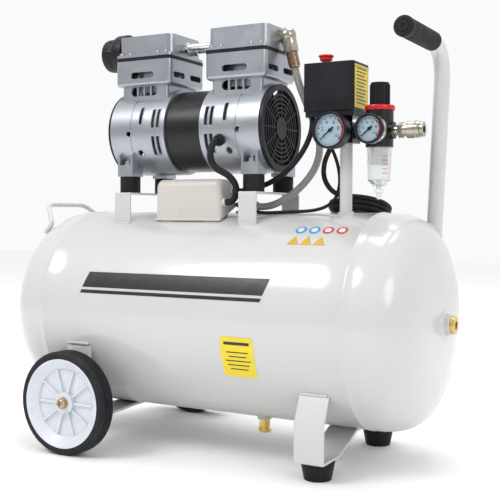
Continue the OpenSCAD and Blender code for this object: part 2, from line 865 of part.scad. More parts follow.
module check_valve() {
    base = tank_top + check_bung_h;
    color("goldenrod") {
        translate([check_x, 0, base - 8]) cylinder(9, r = 7);
        translate([check_x, 0, base]) cylinder(16, r = 11.5, $fn = 6);
        translate([check_x, 0, base + 16]) cylinder(4, r = 8);
        along_x([check_x, 0, hose_z]) cylinder(hose_end_x - check_x, r = 6);
        along_x([hose_end_x - 8, 0, hose_z]) cylinder(7, r = 8, $fn = 6);
        translate([check_x, -8, 376]) rotate([90, 0, 0]) cylinder(5, r = 4, $fn = 6);
    }
}

// ---- capacitor box and cables ----------------------------------------------

// Section of the capacitor box in the Y-Z plane
module box_outline() {
    polygon(box_section);
    for (c = box_corners) translate([c[0], c[1]]) circle(c[2], $fn = 32);
}

// A block of the box's section, from one height along X to another
module box_block(x0, x1) {
    translate([x0, 0, 0]) rotate([90, 0, 90]) linear_extrude(x1 - x0) children();
}

module capacitor_box() {
    end = box_x0 + box_len;
    color("linen") {
        difference() {
            union() {
                box_block(box_x0 + 1, end - 1) box_outline();
                box_block(box_x0, end) polygon([[-68, 349.6], [-68, 353], [-13, 377.5], [-13, 373.9]]);
            }
            box_block(box_x0 + 4, end - 4) polygon([[-64, 350], [-64, 390], [-36, 402], [-20, 375], [-18, 370]]);
        }
        difference() {
            for (x = [box_x0 + 10, box_x0 + box_len - 30]) {
                translate([x, box_foot_y, tank_top - 30]) cube([20, 12, 40]);
                translate([x, box_foot_y - 24, tank_top - 30]) cube([20, 12, 28]);
            }
            tank_solid(tank_r, head_depth);
            box_block(box_x0, end) polygon([[-90, 340.2], [-68, 350], [-13, 374.3], [10, 384.5], [10, 440], [-90, 440]]);
        }
        for (p = lead_ports) along_x([end - 1, p[0], p[1]]) cylinder(3.6, r = 6.5);
    }
}

// The motor's lead, the switch's lead and the thin unloader tube
module service_lines() {
    color("dimgray") {
        swept_tube(motor_lead_route, motor_lead_r, 10, 4, [1, 0.2, 0]);
        swept_tube(switch_lead_route, switch_lead_r, 10, 4, [0, 1, 0.3]);
        swept_tube(unloader_route, unloader_r, 8, 3, [1, 0.3, 0.2]);
    }
}

// ---- controls --------------------------------------------------------------

module riser_post() {
    color("whitesmoke") difference() {
        translate([post_x, controls_y, tank_top - 12]) cylinder(manifold_bottom - tank_top + 12, r = 9);
        translate([post_x, controls_y, tank_top - 20]) cylinder(200, r = 7);
        tank_solid(tank_r, head_depth);
    }
}

module manifold() {
    half = manifold_half;
    color("goldenrod") difference() {
        union() {
            translate([post_x - half, controls_y - half, manifold_bottom])
                cube([2 * half, 2 * half, manifold_top - manifold_bottom]);
            translate([post_x, controls_y, manifold_top - 1]) cylinder(switch_bottom - manifold_top + 1, r = 9, $fn = 6);
            along_x([post_x + half - 1, controls_y, line_z]) cylinder(regulator_x - 22 - post_x - half + 1, r = 7);
            along_x([post_x + half + 1, controls_y, line_z]) cylinder(7, r = 10, $fn = 6);
        }
        translate([post_x, controls_y, manifold_bottom - 1]) cylinder(30, r = 4);
        along_x([post_x, controls_y, line_z]) cylinder(60, r = 4);
    }
}

module pressure_switch() {
    w = switch_x1 - switch_x0;
    d = switch_y1 - switch_y0;
    color("dimgray") difference() {
        union() {
            translate([switch_x0 + w / 2, switch_y0 + d / 2, 0]) {
                rounded_block(w - 4, d - 4, 4, switch_bottom, switch_bottom + 9);
                rounded_block(w, d, 5, switch_bottom + 8, switch_top);
            }
            translate([knob_x, controls_y, switch_top - 1]) cylinder(2, r = 11);
            translate([gland_x, gland_y, switch_bottom - 8]) cylinder(9, r = 7);
        }
        translate([knob_x, controls_y, switch_top - 20]) cylinder(30, r = 6);
        translate([158, -12, switch_bottom - 1]) cylinder(1, r = unloader_r + 0.5);
    }
}

module switch_knob() {
    under = switch_top + 1 + knob_travel + loose_gap;
    color("red") translate([knob_x, controls_y, 0]) {
        translate([0, 0, switch_top - 20 + knob_travel + 1]) cylinder(under - switch_top + 15, r = 6 - running_gap);
        translate([0, 0, under]) rotate_extrude() polygon([[0, 0], [9, 0], [9.3, 4], [11, 5.5], [11, 7.2], [10.2, 8], [0, 8]]);
    }
}

// Case of a gauge, with a dish behind its glass and a hole for the pointer's spindle
module gauge_case(x, r, back_y, stem_y) {
    translate([x, gauge_face_y, line_z]) rotate([-90, 0, 0]) difference() {
        union() {
            cylinder(back_y - gauge_face_y, r = r);
            cylinder(stem_y - gauge_face_y, r = 5);
        }
        translate([0, 0, -1]) cylinder(1 + gauge_dish, r = r - 2);
        cylinder(gauge_dish + 4, r = 1.05);
    }
}

module gauges() {
    color("dimgray") {
        gauge_case(tank_gauge_x, tank_gauge_r, -40, controls_y - manifold_half);
        gauge_case(regulator_x, line_gauge_r, -41, controls_y - regulator_r - 2);
    }
}

// Pointer on its spindle, with its long end at the rest angle
module pointer(x, length) {
    translate([x, gauge_face_y, line_z]) rotate([-90, 0, 0]) {
        translate([0, 0, 1.6]) cylinder(6, r = 1);
        translate([0, 0, 1.6]) {
            cylinder(1.4, r = 2.6);
            rotate(-pointer_rest) linear_extrude(0.8) polygon([[-0.35 * length, -1.2], [-0.35 * length, 1.2],
                [0, 1.1], [length, 0.3], [length, -0.3], [0, -1.1]]);
        }
    }
}

module tank_gauge_pointer() {
    color("black") pointer(tank_gauge_x, tank_gauge_r - 6);
}

module line_gauge_pointer() {
    color("black") pointer(regulator_x, line_gauge_r - 5);
}

module regulator_body() {
    port = 22;
    color("dimgray") difference() {
        union() {
            translate([regulator_x, controls_y, regulator_bottom]) cylinder(regulator_top - regulator_bottom, r = regulator_r);
            along_x([regulator_x - port, controls_y, line_z]) cylinder(2 * port, r = 12);
            along_y([regulator_x, controls_y - regulator_r - 2, line_z]) cylinder(regulator_r, r = 9);
            translate([regulator_x, controls_y, regulator_top]) cylinder(6, r = 20.5);
            translate([regulator_x, controls_y, regulator_top + 5]) cylinder(20, r = bonnet_r);
        }
        translate([regulator_x, controls_y, regulator_bottom - 1]) cylinder(16, r = 12);
    }
}

module regulator_knob() {
    base = regulator_top + 6 + loose_gap;
    color("black") translate([regulator_x, controls_y, base]) difference() {
        union() {
            cylinder(32, r = 13);
            for (i = [0 : 15]) rotate(22.5 * i) translate([11.5, -1.2, 1]) cube([2.8, 2.4, 28]);
        }
        translate([0, 0, -1]) cylinder(22, r = bonnet_r + running_gap);
    }
}

module filter_bowl() {
    color("lightcyan") translate([regulator_x, controls_y, 0]) rotate_extrude() polygon([
        [4, bowl_bottom], [8, bowl_bottom], [16, bowl_bottom + 8], [17.5, regulator_bottom - 8],
        [17.5, regulator_bottom], [15, regulator_bottom], [15, regulator_bottom - 8], [14, bowl_bottom + 9],
        [7, bowl_bottom + 4], [4, bowl_bottom + 4]]);
}

module bowl_drain() {
    color("white") translate([regulator_x, controls_y, 0]) {
        translate([0, 0, bowl_bottom - 14]) cylinder(22, r = 4 - running_gap);
        translate([0, 0, bowl_bottom - 9]) cylinder(5, r = 6.5);
        translate([0, 0, bowl_bottom - 18]) cylinder(5, r = 2.8);
    }
}

module coupler_body() {
    start = regulator_x + 22;
    color("lightgray") difference() {
        union() {
            along_x([start, controls_y, line_z]) cylinder(8, r = 7);
            along_x([start + 7, controls_y, line_z]) cylinder(7, r = 11, $fn = 6);
            along_x([start + 13, controls_y, line_z]) cylinder(coupler_end - start - 13, r = coupler_r);
            along_x([coupler_end - 4, controls_y, line_z]) cylinder(4, r = 10.5);
        }
        along_x([start + 10, controls_y, line_z]) cylinder(coupler_end - start, r = outlet_r);
    }
}

module coupler_sleeve() {
    start = regulator_x + 22 + 14 + 5 + loose_gap;
    color("silver") along_x([start, controls_y, line_z]) difference() {
        cylinder(coupler_end - 4 - loose_gap - start, r = sleeve_r);
        translate([0, 0, -1]) cylinder(60, r = coupler_r + running_gap);
    }
}

module safety_valve() {
    back = controls_y + manifold_half;
    color("goldenrod") difference() {
        union() {
            along_y([post_x, back, line_z]) cylinder(8, r = 8, $fn = 6);
            along_y([post_x, back + 7, line_z]) cylinder(15, r = 6.5);
        }
        along_y([post_x, back + 8, line_z]) cylinder(20, r = 2);
    }
}

module safety_ring() {
    end = controls_y + manifold_half + 22;
    color("silver") {
        along_y([post_x, end - 10, line_z]) cylinder(14, r = 2 - running_gap);
        translate([post_x, end + 12, line_z]) rotate_extrude() translate([9, 0]) circle(1, $fn = 16);
    }
}

// ---- mains cord ------------------------------------------------------------

// Moves to the middle of the coil, which lies on the tank's back shoulder
module at_coil() {
    translate([coil_x, 0, tank_z]) rotate([-coil_lean, 0, 0])
        translate([0, 0, tank_r + coil_half_h + loose_gap]) children();
}

module mains_cord() {
    color("dimgray") {
        swept_tube(mains_route, cord_r, 10, 3, [1, 0.2, 0]);
        at_coil() swept_tube(tail_route, cord_r, 10, 3, [0.1, 0.1, 1]);
    }
}

module mains_coil() {
    color("dimgray") at_coil() rotate_extrude($fn = 96)
        translate([coil_r, 0]) rounded_rect(2 * coil_half_w, 2 * coil_half_h, 4);
}

// Plug that lies beside the coil on the tank's back shoulder, with its pins to the left
module mains_plug() {
    color("dimgray") translate([plug_x, 0, tank_z]) rotate([-plug_lean, 0, 0])
        along_x([0, 0, tank_r + plug_r + loose_gap]) {
            translate([0, 0, 11]) cylinder(30, r1 = 9, r2 = 5);
            translate([0, 0, -20]) cylinder(32, r = plug_r);
            for (x = [-9.5, 9.5]) translate([x, 0, -39]) cylinder(20, r = 2.4);
        }
}

tank_barrel();
tank_heads();
tank_bungs();
end_plugs();
drain_valve();
drain_screw();
carry_handle();
push_handle();
handle_grip();
wheel_bracket();
foot_bracket();
rubber_feet();
axle_bolts();
front_wheel_rim();
front_wheel_tyre();
rear_wheel_rim();
rear_wheel_tyre();
motor_saddles();
vibration_mounts();
motor_shell();
stator();
rotor_core();
motor_shaft();
shaft_bearings();
crank_eccentrics();
cooling_fans();
left_crankcase();
right_crankcase();
fan_guards();
cylinder_liners();
left_piston_rod();
right_piston_rod();
valve_plates();
head_covers();
head_screws();
intake_filter();
crossover_pipe();
outlet_elbow();
delivery_hose();
check_valve();
capacitor_box();
service_lines();
riser_post();
manifold();
pressure_switch();
switch_knob();
gauges();
tank_gauge_pointer();
line_gauge_pointer();
regulator_body();
regulator_knob();
filter_bowl();
bowl_drain();
coupler_body();
coupler_sleeve();
safety_valve();
safety_ring();
mains_cord();
mains_coil();
mains_plug();
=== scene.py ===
"""Portable oil-free air compressor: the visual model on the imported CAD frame."""

import json
from contextlib import contextmanager
from math import cos, pi, radians, sin, sqrt

import bmesh
import bpy
from mathutils import Matrix, Vector

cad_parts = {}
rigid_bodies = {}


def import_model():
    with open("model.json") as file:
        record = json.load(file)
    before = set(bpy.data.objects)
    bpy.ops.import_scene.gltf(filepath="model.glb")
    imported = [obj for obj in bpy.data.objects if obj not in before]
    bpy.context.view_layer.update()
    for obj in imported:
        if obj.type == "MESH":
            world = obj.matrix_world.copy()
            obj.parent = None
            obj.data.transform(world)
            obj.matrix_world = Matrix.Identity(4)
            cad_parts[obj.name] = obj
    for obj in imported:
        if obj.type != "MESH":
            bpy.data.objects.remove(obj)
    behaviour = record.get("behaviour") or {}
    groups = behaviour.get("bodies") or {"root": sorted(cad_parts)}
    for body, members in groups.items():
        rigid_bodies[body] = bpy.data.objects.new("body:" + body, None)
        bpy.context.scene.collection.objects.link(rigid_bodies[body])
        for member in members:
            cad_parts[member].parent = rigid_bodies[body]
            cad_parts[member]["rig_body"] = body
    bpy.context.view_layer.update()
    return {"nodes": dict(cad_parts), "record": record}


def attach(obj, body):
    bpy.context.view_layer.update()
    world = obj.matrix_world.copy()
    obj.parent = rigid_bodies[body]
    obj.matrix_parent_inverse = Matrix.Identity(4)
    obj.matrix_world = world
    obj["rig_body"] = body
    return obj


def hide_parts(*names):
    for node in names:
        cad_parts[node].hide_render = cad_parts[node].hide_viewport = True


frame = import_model()
nodes = frame["nodes"]
slot_of = {s["node"]: s["material_slot"] for s in frame["record"]["subparts"]}

MM = 0.001
TANK_R = 155 * MM
TANK_Z = 208 * MM
BARREL_HALF = 250 * MM
HEAD_DEPTH = 89 * MM
HEAD_POWER = 3.2  # power of the superellipse that shapes the heads
PUMP = Vector((-53, 0, 490)) * MM  # middle of the motor's shaft
CASE_R = 67.5 * MM
ELBOW = Vector((94, 0, 628))  # centre of the outlet elbow, in mm
ELBOW_TILT = radians(14)
ELBOW_DOWN = Vector((sin(ELBOW_TILT), 0, -cos(ELBOW_TILT)))
LINE_Z = 478 * MM  # height of the manifold, gauges and outlet
CONTROLS_Y = -18 * MM
REGULATOR_X = 248 * MM
GAUGE_Y = -60 * MM
GAUGES = {"tank": (189 * MM, 25 * MM), "line": (REGULATOR_X, 20 * MM)}  # x and radius
DIAL_ZERO, DIAL_SWEEP = 220, 260  # degrees
CORD_D = 7.5 * MM
COIL_AT = Vector((191, 0, 208)) * MM
COIL_LEAN = radians(18)
COIL_LIFT = (155 + 11.3 + 0.3) * MM  # tank, lower layers and a gap
SPAN_STEPS = 4  # points that smooth_path makes between two given ones
SAME_POINT = 1e-6
MARKS_ROUND_X, MARKS_ROUND_Z = (900, 30, 30), (30, 30, 900)  # noise scale of turned marks
SPIN_X, SPIN_Y, SPIN_Z = (1, 0, 0), (0, 1, 0), (0, 0, 1)
FRONT, LEFT = (0, -1, 0), (-1, 0, 0)
# sockets of the Mix node, which have the same name for each kind of data
NUMBER_A, NUMBER_B, COLOUR_A, COLOUR_B, NUMBER_OUT, COLOUR_OUT = 2, 3, 6, 7, 0, 2


def linked(name, data):
    """A new object of data, in the scene."""
    obj = bpy.data.objects.new(name, data)
    bpy.context.scene.collection.objects.link(obj)
    return obj


def in_mm(rows):
    """Rows of millimetres as rows of metres."""
    return [tuple(value * MM for value in row) for row in rows]


def map_range(tree, value, *limits, interpolation="LINEAR"):
    """Maps value from the first two limits to the last two."""
    made = tree.nodes.new("ShaderNodeMapRange")
    made.interpolation_type = interpolation
    for key, number in zip(("From Min", "From Max", "To Min", "To Max"), limits):
        made.inputs[key].default_value = number
    tree.links.new(value, made.inputs["Value"])
    return made.outputs["Result"]


# ---- camera, floor and light ----


def add_camera():
    """The camera that was fitted to the photograph."""
    data = bpy.data.cameras.new("camera")
    data.lens = 66.98
    data.sensor_width = 36
    cam = linked("camera", data)
    cam.location = (0.7239, -1.2567, 0.3567)
    cam.rotation_euler = (radians(90 - 2.06), radians(-0.28), radians(28.89))
    bpy.context.scene.camera = cam


def add_light(name, at, towards, size, power, colour=(1, 1, 1)):
    data = bpy.data.lights.new(name, "AREA")
    data.shape, data.size, data.energy, data.color = "DISK", size, power, colour
    lamp = linked(name, data)
    lamp.location = at
    lamp.rotation_euler = (Vector(at) - Vector(towards)).to_track_quat("Z", "Y").to_euler()


def add_world():
    """Soft white surroundings, darker low down on the -Y side, where the photo's camera stands."""
    world = bpy.data.worlds.new("studio")
    world.use_nodes = True
    tree = world.node_tree
    back = tree.nodes["Background"]
    split = tree.nodes.new("ShaderNodeSeparateXYZ")
    tree.links.new(tree.nodes.new("ShaderNodeTexCoord").outputs["Generated"], split.inputs["Vector"])
    far_side = map_range(tree, split.outputs["Y"], -0.35, 0.2, 0, 1, interpolation="SMOOTHSTEP")
    height = map_range(tree, split.outputs["Z"], 0.12, 0.7, 0.5, 1.05, interpolation="SMOOTHSTEP")
    mix = tree.nodes.new("ShaderNodeMix")
    tree.links.new(far_side, mix.inputs["Factor"])
    tree.links.new(height, mix.inputs[NUMBER_A])
    mix.inputs[NUMBER_B].default_value = 0.97
    tree.links.new(mix.outputs[NUMBER_OUT], back.inputs["Strength"])
    back.inputs["Color"].default_value = (0.985, 0.99, 1.0, 1)
    bpy.context.scene.world = world


def add_studio():
    bpy.context.scene.view_settings.view_transform = "Standard"
    add_world()
    add_light("key", (-1.1, -1.9, 2.4), (0, 0, 0.3), 1.3, 34, (1.0, 0.99, 0.97))
    add_light("fill", (2.3, -1.2, 1.5), (0.1, 0, 0.3), 1.2, 13)
    add_light("top", (0.1, 0.6, 2.7), (0, 0, 0.3), 1.6, 26)
    half = 6
    corners = [(-half, -half, 0), (half, -half, 0), (half, half, 0), (-half, half, 0)]
    floor = mesh_object("floor", corners, [range(4)])
    floor.data.materials.append(floor_material())


# ---- materials ----

materials = {}


class Shader:
    """A Principled material whose surface detail is built from procedural nodes."""

    def __init__(self, name, colour, roughness, metallic=0.0, **sockets):
        self.material = materials[name] = bpy.data.materials.new(name)
        self.material.use_nodes = True
        self.tree = self.material.node_tree
        self.bsdf = self.tree.nodes["Principled BSDF"]
        self.colour = (*colour, 1)
        self.roughness = roughness
        sockets.update(Base_Color=self.colour, Roughness=roughness, Metallic=metallic)
        for socket, value in sockets.items():
            self.bsdf.inputs[socket.replace("_", " ")].default_value = value
        self.height = None
        self.coords = self.tree.nodes.new("ShaderNodeTexCoord").outputs["Object"]

    def node(self, kind, **values):
        made = self.tree.nodes.new(kind)
        for key, value in values.items():
            if hasattr(made, key):
                setattr(made, key, value)
            else:
                made.inputs[key.replace("_", " ")].default_value = value
        return made

    def link(self, a, b):
        self.tree.links.new(a, b)

    def mapped(self, source, **values):
        """Coordinates turned or stretched, for a grain with a direction."""
        mapping = self.node("ShaderNodeMapping", **values)
        self.link(source, mapping.inputs["Vector"])
        return mapping.outputs["Vector"]

    def noise(self, scale, detail=3.0, stretch=None):
        made = self.node("ShaderNodeTexNoise", Scale=scale, Detail=detail)
        coords = self.mapped(self.coords, Scale=stretch) if stretch else self.coords
        self.link(coords, made.inputs["Vector"])
        return made.outputs["Fac"]

    def ramp(self, value, low, high, out_low, out_high):
        return map_range(self.tree, value, low, high, out_low, out_high)

    def tint(self, value, other, amount=1.0):
        """Blends the base colour towards other where value is high."""
        mix = self.node("ShaderNodeMix", data_type="RGBA")
        current = self.bsdf.inputs["Base Color"]
        if current.is_linked:
            self.link(current.links[0].from_socket, mix.inputs[COLOUR_A])
        else:
            mix.inputs[COLOUR_A].default_value = self.colour
        mix.inputs[COLOUR_B].default_value = (*other, 1)
        self.link(self.ramp(value, 0.35, 0.65, 0, amount), mix.inputs["Factor"])
        self.link(mix.outputs[COLOUR_OUT], current)
        return self

    def vary_roughness(self, value, spread):
        low, high = max(self.roughness - spread, 0.02), min(self.roughness + spread, 1)
        self.link(self.ramp(value, 0.3, 0.7, low, high), self.bsdf.inputs["Roughness"])
        return self

    def bump(self, value, distance, strength=1.0):
        made = self.node("ShaderNodeBump", Strength=strength, Distance=distance)
        self.link(value, made.inputs["Height"])
        if self.height is not None:
            self.link(self.height, made.inputs["Normal"])
        self.height = made.outputs["Normal"]
        self.link(self.height, self.bsdf.inputs["Normal"])
        return self

    def worn_edges(self, other, amount=0.6):
        """Lightens the convex edges, where handling wears the finish."""
        geometry = self.node("ShaderNodeNewGeometry")
        self.tint(self.ramp(geometry.outputs["Pointiness"], 0.52, 0.62, 0, 1), other, amount)
        return self


def floor_material():
    s = Shader("floor", (0.95, 0.95, 0.95), 0.8, Specular_IOR_Level=0.2)
    s.tint(s.noise(3), (0.935, 0.935, 0.94), 0.5).bump(s.noise(250), 0.0002, 0.1)
    return s.material


def powder_coat(name, colour, shade):
    """Gloss powder coat with its faint orange peel and slightly uneven tone."""
    s = Shader(name, colour, 0.2, Coat_Weight=0.35, Coat_Roughness=0.08)
    s.tint(s.noise(4, 2), shade, 0.5)
    s.vary_roughness(s.noise(30), 0.06)
    s.bump(s.noise(420, 2), 0.00012, 0.35)


def cast_paint(name, colour, shade):
    """Silver paint over a die casting: fine flakes and a cast grain."""
    s = Shader(name, colour, 0.33, 0.8)
    s.tint(s.noise(260, 2), shade, 0.35).tint(s.noise(14, 2), shade, 0.35)
    s.vary_roughness(s.noise(35, 2), 0.05)
    s.bump(s.noise(260, 2), 0.00002, 0.3)


def satin_paint(name, colour, shade):
    """Smooth dark paint with a dull gloss."""
    s = Shader(name, colour, 0.3, Specular_IOR_Level=0.35)
    s.tint(s.noise(25, 2), shade, 0.4).vary_roughness(s.noise(30, 2), 0.04)
    s.bump(s.noise(260, 2), 0.00002, 0.3)


def rubber(name, colour, shade, grain=500):
    """Matt rubber or foam, of which a higher grain is finer."""
    s = Shader(name, colour, 0.6, Specular_IOR_Level=0.22)
    s.tint(s.noise(40, 5), shade, 0.7).vary_roughness(s.noise(90), 0.12)
    s.bump(s.noise(grain, 4), 0.0002, 0.35)


def moulded_plastic(name, colour, shade, roughness=0.42, grain=900, height=0.00015, level=0.4):
    """Injection-moulded plastic: spark-eroded grain, handling marks on its gloss."""
    s = Shader(name, colour, roughness, Specular_IOR_Level=level)
    s.tint(s.noise(18, 3), shade, 0.6).vary_roughness(s.noise(45, 5), 0.08)
    s.bump(s.noise(grain, 3), height, 0.4)


def machined_metal(name, colour, shade, roughness=0.28, stretch=MARKS_ROUND_Z):
    """Turned or drawn metal: fine parallel marks, stains and a dulled skin."""
    s = Shader(name, colour, roughness, 1.0)
    s.tint(s.noise(55, 4), shade, 0.6)
    marks = s.noise(1, 3, stretch)
    s.vary_roughness(marks, 0.12).worn_edges(tuple(min(c * 1.3, 1) for c in colour), 0.4)
    s.bump(marks, 0.00006, 0.3)


def laminated_steel(name):
    """Stacked steel sheets, a little stained."""
    s = Shader(name, (0.28, 0.28, 0.29), 0.45, 0.9)
    wave = s.node("ShaderNodeTexWave", Scale=320.0, Distortion=0.4, bands_direction="X")
    s.link(s.coords, wave.inputs["Vector"])
    s.tint(wave.outputs["Fac"], (0.12, 0.12, 0.13), 0.7).tint(s.noise(40), (0.2, 0.14, 0.1), 0.3)
    s.bump(wave.outputs["Fac"], 0.0002, 0.5)


def clear_plastic(name):
    """The bowl's clear moulding, slightly uneven."""
    s = Shader(name, (0.95, 0.97, 0.965), 0.12, Transmission_Weight=0.86, IOR=1.3)
    s.vary_roughness(s.noise(30, 4), 0.04)
    s.bump(s.noise(60, 2), 0.0002, 0.12)


def braided_hose(name):
    """Steel braid over a hose, as crossed diagonal strands."""
    s = Shader(name, (0.46, 0.44, 0.42), 0.4, 0.45)
    uv = s.node("ShaderNodeTexCoord").outputs["UV"]
    strands = []
    for lean in (1, -1):
        strand = s.mapped(uv, Rotation=(0, 0, lean * radians(40)), Scale=(60, 6, 1))
        wave = s.node("ShaderNodeTexWave", Scale=1.2)
        s.link(strand, wave.inputs["Vector"])
        strands.append(wave.outputs["Fac"])
    braid = s.node("ShaderNodeMath", operation="MAXIMUM")
    s.link(strands[0], braid.inputs[0])
    s.link(strands[1], braid.inputs[1])
    s.tint(s.ramp(braid.outputs["Value"], 0.2, 0.9, 1, 0), (0.13, 0.125, 0.12), 0.8)
    s.tint(s.noise(300, 2), (0.45, 0.43, 0.40), 0.3)
    s.bump(braid.outputs["Value"], 0.0006, 0.7)


def printed(name, colour, shade):
    """Ink or vinyl on the tank, with its faint mottling."""
    s = Shader(name, colour, 0.35)
    s.tint(s.noise(60, 4), shade, 0.5).vary_roughness(s.noise(80), 0.06)
    s.bump(s.noise(500), 0.00005, 0.2)


def window(name):
    """Thin clear pane, which shows what is behind it and takes a faint highlight."""
    s = Shader(name, (0.03, 0.035, 0.04), 0.08, Alpha=0.07)
    s.vary_roughness(s.noise(40, 3), 0.05)
    s.bump(s.noise(90, 2), 0.0001, 0.1)


def make_materials():
    powder_coat("white_paint", (0.56, 0.56, 0.555), (0.535, 0.535, 0.53))
    cast_paint("silver_paint", (0.40, 0.42, 0.455), (0.335, 0.355, 0.39))
    satin_paint("black_paint", (0.010, 0.009, 0.010), (0.018, 0.016, 0.018))
    rubber("grip_foam", (0.010, 0.010, 0.012), (0.018, 0.018, 0.021), 900)
    rubber("foot_rubber", (0.008, 0.008, 0.009), (0.015, 0.015, 0.017))
    rubber("tyre_rubber", (0.012, 0.012, 0.015), (0.022, 0.022, 0.027))
    moulded_plastic("rim_plastic", (0.64, 0.67, 0.72), (0.60, 0.63, 0.685), 0.3, 500, 0.0001)
    machined_metal("brass", (0.72, 0.52, 0.17), (0.48, 0.33, 0.10), 0.26)
    machined_metal("zinc_steel", (0.55, 0.42, 0.28), (0.38, 0.28, 0.19), 0.3)
    machined_metal("nickel", (0.47, 0.44, 0.37), (0.31, 0.28, 0.23), 0.24, MARKS_ROUND_X)
    machined_metal("machined_steel", (0.60, 0.60, 0.61), (0.45, 0.45, 0.47), 0.25, MARKS_ROUND_X)
    laminated_steel("laminated_steel")
    machined_metal("machined_aluminium", (0.76, 0.77, 0.78), (0.6, 0.61, 0.63), 0.24)
    moulded_plastic("black_plastic", (0.010, 0.010, 0.013), (0.017, 0.017, 0.021), 0.38, level=0.22)
    moulded_plastic("red_plastic", (0.60, 0.012, 0.014), (0.45, 0.008, 0.01), 0.3)
    clear_plastic("clear_bowl")
    moulded_plastic("white_plastic", (0.78, 0.78, 0.76), (0.70, 0.70, 0.68), 0.4)
    moulded_plastic("cream_plastic", (0.56, 0.54, 0.50), (0.53, 0.505, 0.47), 0.34, 400, 0.0001)
    rubber("cable_rubber", (0.009, 0.009, 0.010), (0.017, 0.017, 0.019), 350)
    braided_hose("hose_braid")
    printed("ink", (0.012, 0.012, 0.013), (0.022, 0.022, 0.024))
    printed("yellow_vinyl", (0.78, 0.62, 0.015), (0.70, 0.54, 0.012))
    printed("blue_vinyl", (0.02, 0.33, 0.60), (0.02, 0.28, 0.54))
    printed("orange_vinyl", (0.62, 0.38, 0.02), (0.55, 0.33, 0.02))
    printed("red_vinyl", (0.60, 0.05, 0.04), (0.52, 0.04, 0.03))
    printed("white_vinyl", (0.68, 0.68, 0.68), (0.64, 0.64, 0.64))
    printed("dial", (0.44, 0.59, 0.69), (0.41, 0.56, 0.66))
    window("window")
    machined_metal("bronze", (0.30, 0.20, 0.13), (0.20, 0.13, 0.08), 0.34)


# ---- mesh helpers ----


def mesh_object(name, verts, faces):
    mesh = bpy.data.meshes.new(name)
    mesh.from_pydata([tuple(v) for v in verts], [], [tuple(f) for f in faces])
    mesh.update()
    return linked(name, mesh)


@contextmanager
def editing(mesh):
    """The mesh as a bmesh, written back afterwards."""
    bm = bmesh.new()
    bm.from_mesh(mesh)
    yield bm
    bm.to_mesh(mesh)
    bm.free()


def finish_mesh(obj, angle=35):
    """Consistent normals, with edges sharper than angle kept crisp."""
    with editing(obj.data) as bm:
        bmesh.ops.recalc_face_normals(bm, faces=bm.faces)
        for edge in bm.edges:
            edge.smooth = not (len(edge.link_faces) == 2 and edge.calc_face_angle(0) > radians(angle))
        for face in bm.faces:
            face.smooth = True


def piece(obj, slot, stands_for=(), material=None, body="frame"):
    obj.data.materials.clear()
    obj.data.materials.append(materials[material or slot])
    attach(obj, body)
    if stands_for:
        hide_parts(*stands_for)
    return obj


def frame_along(axis):
    """A matrix that turns +Z to axis."""
    return Vector(axis).to_track_quat("Z", "Y").to_matrix().to_4x4()


def facing_right(x):
    """A matrix that puts a flat outline in the Y-Z plane at x and its height along X."""
    return Matrix(((0, 0, 1, x), (1, 0, 0, 0), (0, 1, 0, 0), (0, 0, 0, 1)))


def circle(r, sides):
    return [(r * cos(2 * pi * k / sides), r * sin(2 * pi * k / sides)) for k in range(sides)]


def rounded_rect(x, y, half_x, half_y, r, count):
    """Points round a rectangle; half_x and half_y reach the middles of its corner arcs."""
    out = []
    for sx, sy, start in ((1, 1, 0), (-1, 1, 90), (-1, -1, 180), (1, -1, 270)):
        for k in range(count):
            a = radians(start + 90 / (count - 1) * k)
            out.append((x + sx * half_x + r * cos(a), y + sy * half_y + r * sin(a)))
    return out


def ring_faces(rings, sides, base=0, closed=False):
    """Faces between rings that follow each other, of as many points as sides."""
    faces = []
    for i in range(rings if closed else rings - 1):
        a, b = base + i * sides, base + (i + 1) % rings * sides
        faces += [(a + k, a + (k + 1) % sides, b + (k + 1) % sides, b + k) for k in range(sides)]
    return faces


def lathe(name, outline, at, axis=SPIN_Z, sides=64):
    """A solid of revolution from (radius, height) pairs; a closed outline makes a ring."""
    place = Matrix.Translation(Vector(at)) @ frame_along(axis)
    closed = min(r for r, _ in outline) > SAME_POINT
    verts, faces, n = [], [], len(outline)
    for k in range(sides):
        a = 2 * pi * k / sides
        verts += [place @ Vector((r * cos(a), r * sin(a), h)) for r, h in outline]
    for k in range(sides):
        m = (k + 1) % sides
        for i in range(n if closed else n - 1):
            j = (i + 1) % n
            faces.append((k * n + i, m * n + i, m * n + j, k * n + j))
    obj = mesh_object(name, verts, faces)
    with editing(obj.data) as bm:
        bmesh.ops.remove_doubles(bm, verts=bm.verts, dist=SAME_POINT)
        bmesh.ops.dissolve_degenerate(bm, edges=bm.edges, dist=SAME_POINT / 10)
    finish_mesh(obj)
    return obj


def prism(name, outline, height, place):
    """A flat outline of (x, y) pairs raised by height, placed by a matrix."""
    n = len(outline)
    verts = [place @ Vector((x, y, z)) for z in (0, height) for x, y in outline]
    faces = [tuple(range(n - 1, -1, -1)), tuple(range(n, 2 * n))]
    faces += [(i, (i + 1) % n, n + (i + 1) % n, n + i) for i in range(n)]
    obj = mesh_object(name, verts, faces)
    finish_mesh(obj)
    return obj


def bevel(obj, width, segments=2):
    mod = obj.modifiers.new("bevel", "BEVEL")
    mod.width = width
    mod.segments = segments
    mod.limit_method = "ANGLE"
    mod.angle_limit = radians(40)
    mod.harden_normals = True


def join(name, objects):
    """One object from several meshes, with their modifiers applied."""
    bm = bmesh.new()
    graph = bpy.context.evaluated_depsgraph_get()
    for o in objects:
        graph.update()
        made = o.evaluated_get(graph).to_mesh()
        made.transform(o.matrix_world)
        bm.from_mesh(made)
    mesh = bpy.data.meshes.new(name)
    bm.to_mesh(mesh)
    bm.free()
    for o in objects:
        bpy.data.objects.remove(o)
    obj = linked(name, mesh)
    finish_mesh(obj)
    return obj


